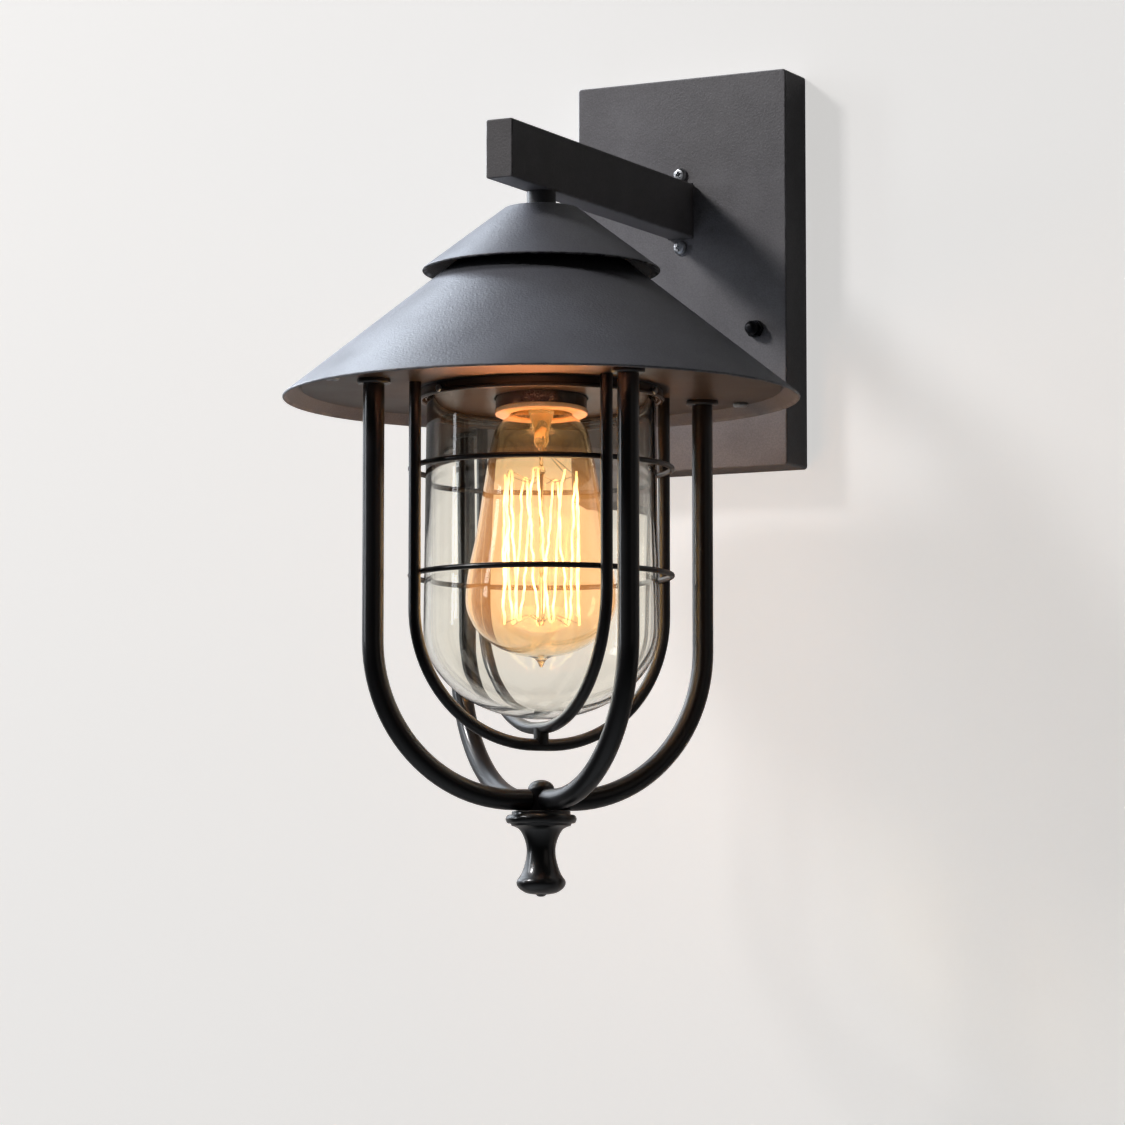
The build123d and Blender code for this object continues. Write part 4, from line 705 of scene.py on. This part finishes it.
JAR_TOP, JAR_DOME, JAR_BOTTOM, JAR_RADIUS, JAR_WALL = -70.1, -170.9, -208.9, 49.8, 3.0


def dome(radius, depth, start_z, steps=36):
    angles = [pi / 2 * step / steps for step in range(steps + 1)]
    return [(radius * cos(angle), start_z - depth * sin(angle)) for angle in angles]


jar_outline = rounded([
    (JAR_RADIUS - JAR_WALL, JAR_TOP, 0.8),
    (JAR_RADIUS, JAR_TOP, 0.35),
    (JAR_RADIUS, JAR_TOP - 0.8, 0.3),
    (JAR_RADIUS - 0.8, JAR_TOP - 1.2, 0.3),
    (JAR_RADIUS - 0.8, JAR_TOP - 2.8, 0.3),
    (JAR_RADIUS, JAR_TOP - 3.2, 0.3),
], 3)
jar_outline += dome(JAR_RADIUS, JAR_DOME - JAR_BOTTOM, JAR_DOME)[:-1] + [(0, JAR_BOTTOM), (0, JAR_BOTTOM + JAR_WALL)]
jar_outline += dome(JAR_RADIUS - JAR_WALL, JAR_DOME - JAR_BOTTOM - JAR_WALL, JAR_DOME)[-2::-1]
jar_glass = clear_glass("jar_glass", (0.968, 0.958, 0.905), 0.0, 0.22, 34)
fit(swept("glass_jar_blown", jar_outline, 224, 50), "root", "jar_glass", "glass_jar", material=jar_glass)
gasket_rubber = powder_coat("gasket_rubber", (0.025, 0.025, 0.026), 0.75, peel=0.3, peel_size=600, gloss=0.3)
finish(gasket_rubber, "jar_gasket")


# Lampholder: a moulded black cup and cap on the threaded tube. A glazed ring is let into the cup's mouth,
# and the screw shell and the sprung contact inside are brass.
phenolic = powder_coat("black_phenolic", (0.012, 0.009, 0.008), 0.22, peel=0.02, peel_size=420, gloss=0.35)
finish(phenolic, "lampholder_body", "lampholder_cap", "bulb_insulator")
# The ring's orange tint is painted warm light from the lamp on a pale glaze.
glaze_painted_glow = powder_coat("holder_glaze", (0.84, 0.52, 0.28), 0.22, peel=0.05, peel_size=300, gloss=0.6)
holder_ring = swept("lampholder_ring", rounded([
    (13.4, -75.85, 0), (13.4, -76.5, 0.2), (19.9, -76.5, 0.5), (19.9, -74.6, 0.4), (19.55, -74.3, 0),
    (19.55, -75.85, 0),
], 4), 128)
fit(holder_ring, "root", "white_plastic", material=glaze_painted_glow)
brass = plated("brass", (0.74, 0.53, 0.24), 0.33)
finish(brass, "screw_shell", "centre_contact", "clamp_tubes", "earth_stud", "earth_nut")
finish(plated("solder", (0.62, 0.62, 0.60), 0.42), "bulb_contact")


# Lamp cap: a brass sleeve with the rolled thread of a large screw cap. The thread is a helical bead that
# Geometry Nodes wind round the sleeve.
CAP_END, CAP_TOP = -69.65, -47.65
sleeve = swept("lamp_cap_sleeve", rounded([
    (7.2, CAP_TOP + 1.3, 0), (12.6, CAP_TOP - 2.6, 0.8), (12.86, CAP_END + 0.6, 0.3), (13.1, CAP_END, 0.2),
    (12.72, CAP_END, 0.1), (12.4, CAP_TOP - 3.0, 0.5), (7.2, CAP_TOP + 0.9, 0),
], 4), 96)


def rolled_thread(name, radius, bead, pitch, turns, start_z, material):
    sizes = {
        "Thread Radius": ("NodeSocketFloat", radius / 1000),
        "Bead Radius": ("NodeSocketFloat", bead / 1000),
        "Pitch": ("NodeSocketFloat", pitch / 1000),
        "Turns": ("NodeSocketFloat", turns),
        **row_sizes(1, 0, 0, (0, LAMP_Y / 1000, start_z / 1000), (0, 0, 0), material),
    }
    tree, given, given_back = new_tree(name + "_tree", sizes)
    add, join = tree.nodes.new, tree.links.new
    spiral, section = add("GeometryNodeCurveSpiral"), add("GeometryNodeCurvePrimitiveCircle")
    skin, rise = add("GeometryNodeCurveToMesh"), add("ShaderNodeMath")
    rise.operation = "MULTIPLY"
    spiral.inputs["Resolution"].default_value = 48
    section.inputs["Resolution"].default_value = 12
    skin.inputs["Fill Caps"].default_value = True
    join(given.outputs["Pitch"], rise.inputs[0])
    join(given.outputs["Turns"], rise.inputs[1])
    join(rise.outputs["Value"], spiral.inputs["Height"])
    join(given.outputs["Turns"], spiral.inputs["Rotations"])
    join(given.outputs["Thread Radius"], spiral.inputs["Start Radius"])
    join(given.outputs["Thread Radius"], spiral.inputs["End Radius"])
    join(given.outputs["Bead Radius"], section.inputs["Radius"])
    join(spiral.outputs["Curve"], skin.inputs["Curve"])
    join(section.outputs["Curve"], skin.inputs["Profile Curve"])
    end_tree(tree, given, given_back, round_axis(tree, given, skin.outputs["Mesh"]))
    return grown(name, bpy.data.meshes.new(name + "_stock"), tree, sizes)


fit(sleeve, "bulb", "brass", "bulb_cap", material=brass)
fit(rolled_thread("lamp_cap_thread", 12.35, 0.82, 3.6, 4.2, CAP_END + 2.6, brass), "bulb", "brass")


# Lamp glass: thin clear glass with an amber tint, narrow at the neck and round below, sealed off in a small
# tip at the bottom. A faint painted glow lies on it where the filament is.
SHOULDER_TOP, SHOULDER, FLANK, BELLY, BULB_BOTTOM = -74.65, -84.15, -125.15, -158.15, -183.15
NECK_RADIUS, BELLY_RADIUS, TIP_RADIUS = 12.65, 32.0, 4.2


def sampled(curve):
    """The points that Blender draws a flat curve through, as (radius, height)."""
    holder = bpy.data.objects.new(curve.name, curve)
    mesh = bpy.data.meshes.new_from_object(holder)
    points = [(v.co.x, v.co.y) for v in mesh.vertices]
    bpy.data.objects.remove(holder)
    bpy.data.meshes.remove(mesh)
    return points


def bulb_skin(inset, tip):
    """The lamp's outline from its neck to its tip, inset by so many mm, with the tip drawn out by tip."""
    marks = [(NECK_RADIUS, SHOULDER_TOP), (20.0, SHOULDER), (26.9, FLANK), (BELLY_RADIUS, BELLY)]
    before = [(0, 3.2), (-2.2, 5.4), (-1.9, 13.5), (0, 11.5)]
    after = [(0, -3.2), (2.0, -4.9), (1.7, -12.0), (0, -1)]
    curve = bpy.data.curves.new("bulb_line", "CURVE")
    curve.dimensions = "2D"
    spline = curve.splines.new("BEZIER")
    spline.bezier_points.add(len(marks) - 1)
    spline.resolution_u = 14
    for point, (r, z), (rb, zb), (ra, za) in zip(spline.bezier_points, marks, before, after):
        point.co = (r - inset, z, 0)
        point.handle_left = (r - inset + rb, z + zb, 0)
        point.handle_right = (r - inset + ra, z + za, 0)
    round_end = dome(BELLY_RADIUS - inset, BELLY - BULB_BOTTOM - inset, BELLY, 34)[1:-1]
    low = BULB_BOTTOM + inset
    drawn_out = ((2.9, 0.35), (1.9, 1.2), (1.35, 2.3), (0.95, 3.3), (0.45, 4.0), (0, 4.15))
    return ([(NECK_RADIUS - inset, -61.65)] + sampled(curve) + [p for p in round_end if p[0] > TIP_RADIUS]
            + [(r, low - drop * tip) for r, drop in drawn_out])


bulb_outline = bulb_skin(0.0, 1.0) + bulb_skin(0.8, 0.35)[::-1]
# The warm emission between these heights is a painted glow where the filament is.
bulb_glass = clear_glass("bulb_glass", (0.985, 0.850, 0.640), 0.0, 0.04, 60,
                         (1.0, 0.38, 0.08), 0.11, (-0.184, -0.158, -0.118, -0.088))
fit(swept("bulb_glass_blown", bulb_outline, 160, 50), "bulb", "bulb_glass", "bulb_glass", material=bulb_glass)


# Stem: a flared glass tube sealed into the neck, pinched flat round the lead wires, and a thin rod with a
# button at each end that carries the hooks.
FILAMENT_TOP, FILAMENT_LOW = -102.65, -168.65
flare = [(5.4 + 6.2 * (1 - step / 10) ** 2.2, CAP_END - 6.5 * step / 10) for step in range(11)]
stem_outline = [(0, CAP_END)] + flare + [
    (4.2, -80.5), (3.3, -84.5), (2.5, -88.5), (1.9, -90.6), (1.2, -91.6), (0.95, -93.2),
    (0.85, -99.5), (1.5, -100.6), (1.9, -101.6), (1.5, -102.6), (0.85, -103.8),
    (0.85, -165.5), (1.5, -166.6), (1.9, -167.7), (1.5, -168.8), (0.8, -169.35), (0, -169.45),
]
stem = swept("lamp_stem_drawn", stem_outline, 64, 60)
PINCH_Z, PINCH_REACH = -88.8, 4.2
for spot in stem.data.vertices:
    pinch = max(0.0, 1 - abs(spot.co.z * 1000 - PINCH_Z) / PINCH_REACH)
    spot.co.x *= 1 + 0.45 * pinch
    spot.co.y = LAMP_Y / 1000 + (spot.co.y - LAMP_Y / 1000) * (1 - 0.62 * pinch)
# The stem glass has a faint painted warm glow over its upper part, flare and pinch.
stem_glass = clear_glass("stem_glass", (0.97, 0.90, 0.78), 0.04, 0.3, 300,
                         (1.0, 0.52, 0.17), 0.13, (-0.110, -0.086, -0.060, -0.050))
fit(stem, "bulb", "stem_glass", "bulb_stem", material=stem_glass)


# Filament: one thin carbon thread that zigzags down and up between hooks, fourteen strands in a squirrel
# cage, a little slack. Hooks and lead wires are fine nickel wire, bent by the same tree as the cage rods.
def glowing(name, colour, strength):
    made, nodes, links = new_material(name)
    place = nodes.new("ShaderNodeTexCoord").outputs["Object"]
    thread = nodes.new("ShaderNodeBsdfPrincipled")
    thread.inputs["Base Color"].default_value = (0.10, 0.07, 0.05, 1)
    thread.inputs["Roughness"].default_value = 0.5
    thread.inputs["Emission Color"].default_value = (*colour, 1)
    heat = span(nodes, links, noise_field(nodes, links, place, 130, 3), 0.3, 0.7, strength * 0.75, strength * 1.3)
    height, top, low = along(nodes, links, place, "Z"), FILAMENT_TOP / 1000, FILAMENT_LOW / 1000
    ends = number(nodes, links, "MULTIPLY", span(nodes, links, height, top - 0.008, top, 1.0, 0.45),
                  span(nodes, links, height, low, low + 0.008, 0.45, 1.0))
    links.new(number(nodes, links, "MULTIPLY", heat, ends), thread.inputs["Emission Strength"])
    links.new(thread.outputs["BSDF"], nodes.new("ShaderNodeOutputMaterial").inputs["Surface"])
    return made


def bent_rods(name, corners, rod, bend, row, sides=28, steps=26, slack=0.0):
    """Rods bent along one line: corners are (radius, height) or (x, y, height) from the axis, in mm."""
    line = bpy.data.curves.new(name + "_line", "CURVE")
    line.dimensions = "3D"
    spline = line.splines.new("POLY")
    spline.points.add(len(corners) - 1)
    for point, (x, *y, z) in zip(spline.points, corners):
        point.co = (x / 1000, (y[0] if y else 0) / 1000, z / 1000, 1)
    sizes = {
        "Rod Diameter": ("NodeSocketFloat", rod / 1000),
        "Bend Radius": ("NodeSocketFloat", bend / 1000),
        "Slack": ("NodeSocketFloat", slack / 1000),
        **row,
    }
    tree, given, given_back = new_tree(name + "_tree", sizes)
    add, join = tree.nodes.new, tree.links.new
    filleted, section = add("GeometryNodeFilletCurve"), add("GeometryNodeCurvePrimitiveCircle")
    skin, half = add("GeometryNodeCurveToMesh"), add("ShaderNodeMath")
    filleted.mode = "POLY"
    filleted.inputs["Count"].default_value = steps
    filleted.inputs["Limit Radius"].default_value = True
    half.operation = "MULTIPLY"
    half.inputs[1].default_value = 0.5
    section.inputs["Resolution"].default_value = sides
    skin.inputs["Fill Caps"].default_value = True
    join(given.outputs["Geometry"], filleted.inputs["Curve"])
    join(given.outputs["Bend Radius"], filleted.inputs["Radius"])
    join(given.outputs["Rod Diameter"], half.inputs[0])
    join(half.outputs["Value"], section.inputs["Radius"])
    path = filleted.outputs["Curve"]
    if slack:
        even, sway, shifted = (add("GeometryNodeResampleCurve"), add("ShaderNodeTexNoise"),
                               add("GeometryNodeSetPosition"))
        centred, amount = add("ShaderNodeVectorMath"), add("ShaderNodeVectorMath")
        even.mode = "LENGTH"
        even.inputs["Length"].default_value = 0.0007
        sway.inputs["Scale"].default_value = 85
        centred.operation, amount.operation = "SUBTRACT", "SCALE"
        centred.inputs[1].default_value = (0.5, 0.5, 0.5)
        join(path, even.inputs["Curve"])
        join(sway.outputs["Color"], centred.inputs[0])
        join(centred.outputs["Vector"], amount.inputs[0])
        join(given.outputs["Slack"], amount.inputs["Scale"])
        join(even.outputs["Curve"], shifted.inputs["Geometry"])
        join(amount.outputs["Vector"], shifted.inputs["Offset"])
        path = shifted.outputs["Geometry"]
    join(path, skin.inputs["Curve"])
    join(section.outputs["Curve"], skin.inputs["Profile Curve"])
    end_tree(tree, given, given_back, round_axis(tree, given, skin.outputs["Mesh"]))
    return grown(name, line, tree, sizes)


STRANDS, FILAMENT_RADIUS, HOOK_BEND = 14, 16.0, 0.95
STRAND_STEP = 360 / (STRANDS + 1)
zigzag = []
for hook in range(STRANDS + 1):
    level = FILAMENT_LOW if hook % 2 else FILAMENT_TOP
    for side in (-1, 1):
        turn = radians(hook * STRAND_STEP) + side * HOOK_BEND / FILAMENT_RADIUS
        zigzag.append((FILAMENT_RADIUS * cos(turn), FILAMENT_RADIUS * sin(turn), level))
zigzag = zigzag[1:-1]
lit_thread = glowing("lit_filament", (1.0, 0.76, 0.36), 4.2)
thread = bent_rods("filament_thread", zigzag, 1.0, 0.9 * HOOK_BEND, on_axis(1, 0, 0, lit_thread), 8, 7, 3.6)
fit(thread, "bulb", "filament", "filament")
wire = plated("nickel_wire", (0.50, 0.45, 0.38), 0.35)
hook_line = ((0.9, 1.0), (6.0, 3.6), (15.2, 0.2), (16.6, -0.7), (16.5, 1.4))
for level, height, rise, first, count, replaced in (
    ("low", FILAMENT_LOW, 1, 1, 7, ("filament_supports",)),
    ("top", FILAMENT_TOP, -1, 2, 6, ()),
):
    hooks = bent_rods(f"filament_hooks_{level}", [(r, height + rise * up) for r, up in hook_line], 0.30, 1.4,
                      on_axis(count, first * STRAND_STEP, 2 * STRAND_STEP, wire), 8, 5)
    fit(hooks, "bulb", "filament_wire", *replaced)
leads = bent_rods(
    "lead_wires_bent", [(1.0, -86.0), (1.4, -91.6), (5.0, -95.0), (16.0, -104.6), (16.0, -108.0)], 0.34, 2.0,
    on_axis(2, 0, STRANDS * STRAND_STEP, wire), 8, 5,
)
fit(leads, "bulb", "filament_wire", "lead_wires")


# Cage: 9 mm rods bent cold, welded to the hub and threaded at the top, two 5.2 mm hoops crossed under the
# jar and two wire rings inside them, all in semi-gloss black.
BAR_TOP, BAR_LOW, BAR_RADIUS = -71.1, -242.9, 78.175
HOOP_HIGH, HOOP_LOW, HOOP_RADIUS = -212.5, -219.7, 59.2
RING_RADIUS, RING_WIRE = 55.35, 1.2
BOLT_RADIUS, BOLT_SEAT, BOLT_DOME = 5.6, -238.4, 4.0
outer_bars = bent_rods("outer_bars_bent", [(BAR_RADIUS, BAR_TOP), (BAR_RADIUS, BAR_LOW), (6.0, BAR_LOW)], 9.0, 65.0,
                       on_axis(4, FIRST_BAR, 90, cage_coat))
fit(outer_bars, "root", "cage_coat",
    "outer_bar_back_right", "outer_bar_back_left", "outer_bar_front_left", "outer_bar_front_right")
for level, angle, low in (("low", FIRST_BAR, HOOP_LOW), ("high", FIRST_BAR + 90, HOOP_HIGH)):
    corners = [(-HOOP_RADIUS, BASE_UNDER), (-HOOP_RADIUS, low), (HOOP_RADIUS, low), (HOOP_RADIUS, BASE_UNDER)]
    hoop = bent_rods(f"inner_hoop_{level}_bent", corners, 5.2, 56.0, on_axis(1, angle, 0, cage_coat), 20)
    fit(hoop, "root", "cage_coat", f"inner_hoop_{level}")
for level, height in (("upper", -102.8), ("lower", -148.2)):
    angles = [2 * pi * step / 16 for step in range(16)]
    loop = [(RING_RADIUS + RING_WIRE * cos(angle), height + RING_WIRE * sin(angle)) for angle in angles]
    fit(swept(f"{level}_ring_bent", loop, 160, 90), "root", "cage_coat", f"{level}_ring", material=cage_coat)
finish(cage_coat, "bar_flanges", "hoop_spacer", "cage_hub")
angles = [pi / 2 * step / 14 for step in range(14)]
bolt_dome = [(BOLT_RADIUS * cos(angle), BOLT_SEAT + BOLT_DOME * sin(angle)) for angle in angles]
cage_gloss = powder_coat("cage_gloss", (0.0080, 0.0078, 0.0084), 0.33, peel=0.05, peel_size=420, gloss=0.9, dust=0.02,
                         lacquer=0.8)
hub_bolt = swept(
    "hub_bolt_domed",
    [(0, -258.4), (2.2, -258.4), (2.5, -258.1), (2.5, BOLT_SEAT)] + bolt_dome + [(0, BOLT_SEAT + BOLT_DOME)], 96, 50,
)
fit(hub_bolt, "root", "cage_gloss", "hub_bolt", material=cage_gloss)


# Finial: turned from steel bar, gloss black, with a thin step, a disc, a waist and a flared foot. It
# screws onto the bolt through the hub.
FINIAL_TOP = -247.6
waist = [
    (12.4, 6.2), (10.2, 6.75), (8.5, 8.4), (7.1, 11.2), (6.25, 14.2), (6.0, 16.6), (6.2, 19.2), (6.9, 22.4),
    (8.0, 25.6), (9.0, 27.4), (9.9, 28.5), (10.4, 29.6), (10.3, 31.0), (9.3, 32.5), (7.2, 34.0), (4.8, 34.8),
    (2.2, 35.0),
]
waist_line = bpy.data.curves.new("waist_line", "CURVE")
waist_line.dimensions = "2D"
waist_spline = waist_line.splines.new("NURBS")
waist_spline.points.add(len(waist) - 1)
for point, (r, drop) in zip(waist_spline.points, waist):
    point.co = (r, FINIAL_TOP - drop, 0, 1)
waist_spline.order_u = 3
waist_spline.use_endpoint_u = True
waist_spline.resolution_u = 6
finial_outline = rounded([
    (2.55, FINIAL_TOP, 0.25), (12.4, FINIAL_TOP, 0.5), (12.4, FINIAL_TOP - 1.4, 0.15),
    (14.3, FINIAL_TOP - 1.6, 1.1), (15.1, FINIAL_TOP - 3.3, 1.6), (14.2, FINIAL_TOP - 5.6, 1.2),
], 5)
finial_outline += sampled(waist_line)
foot_and_bore = ((1.6, 35.6), (0.7, 35.88), (0, 35.9), (0, 11.2), (2.55, 11.2))
finial_outline += [(r, FINIAL_TOP - drop) for r, drop in foot_and_bore]
fit(swept("finial_turned", finial_outline, 128, 42), "finial", "cage_gloss", "finial", material=cage_gloss)


# Wiring in the plate: a white three-pole terminal block with brass tubes and zinc screws, a brass earth
# stud, and the black two-core lead that runs through the arm.
finish(powder_coat("block_plastic", (0.74, 0.73, 0.69), 0.42, peel=0.05, gloss=0.5), "terminal_block")
finish(zinc, "clamp_screws")
finish(powder_coat("lead_sheath", (0.03, 0.03, 0.032), 0.6, peel=0.2, peel_size=800), "supply_lead")
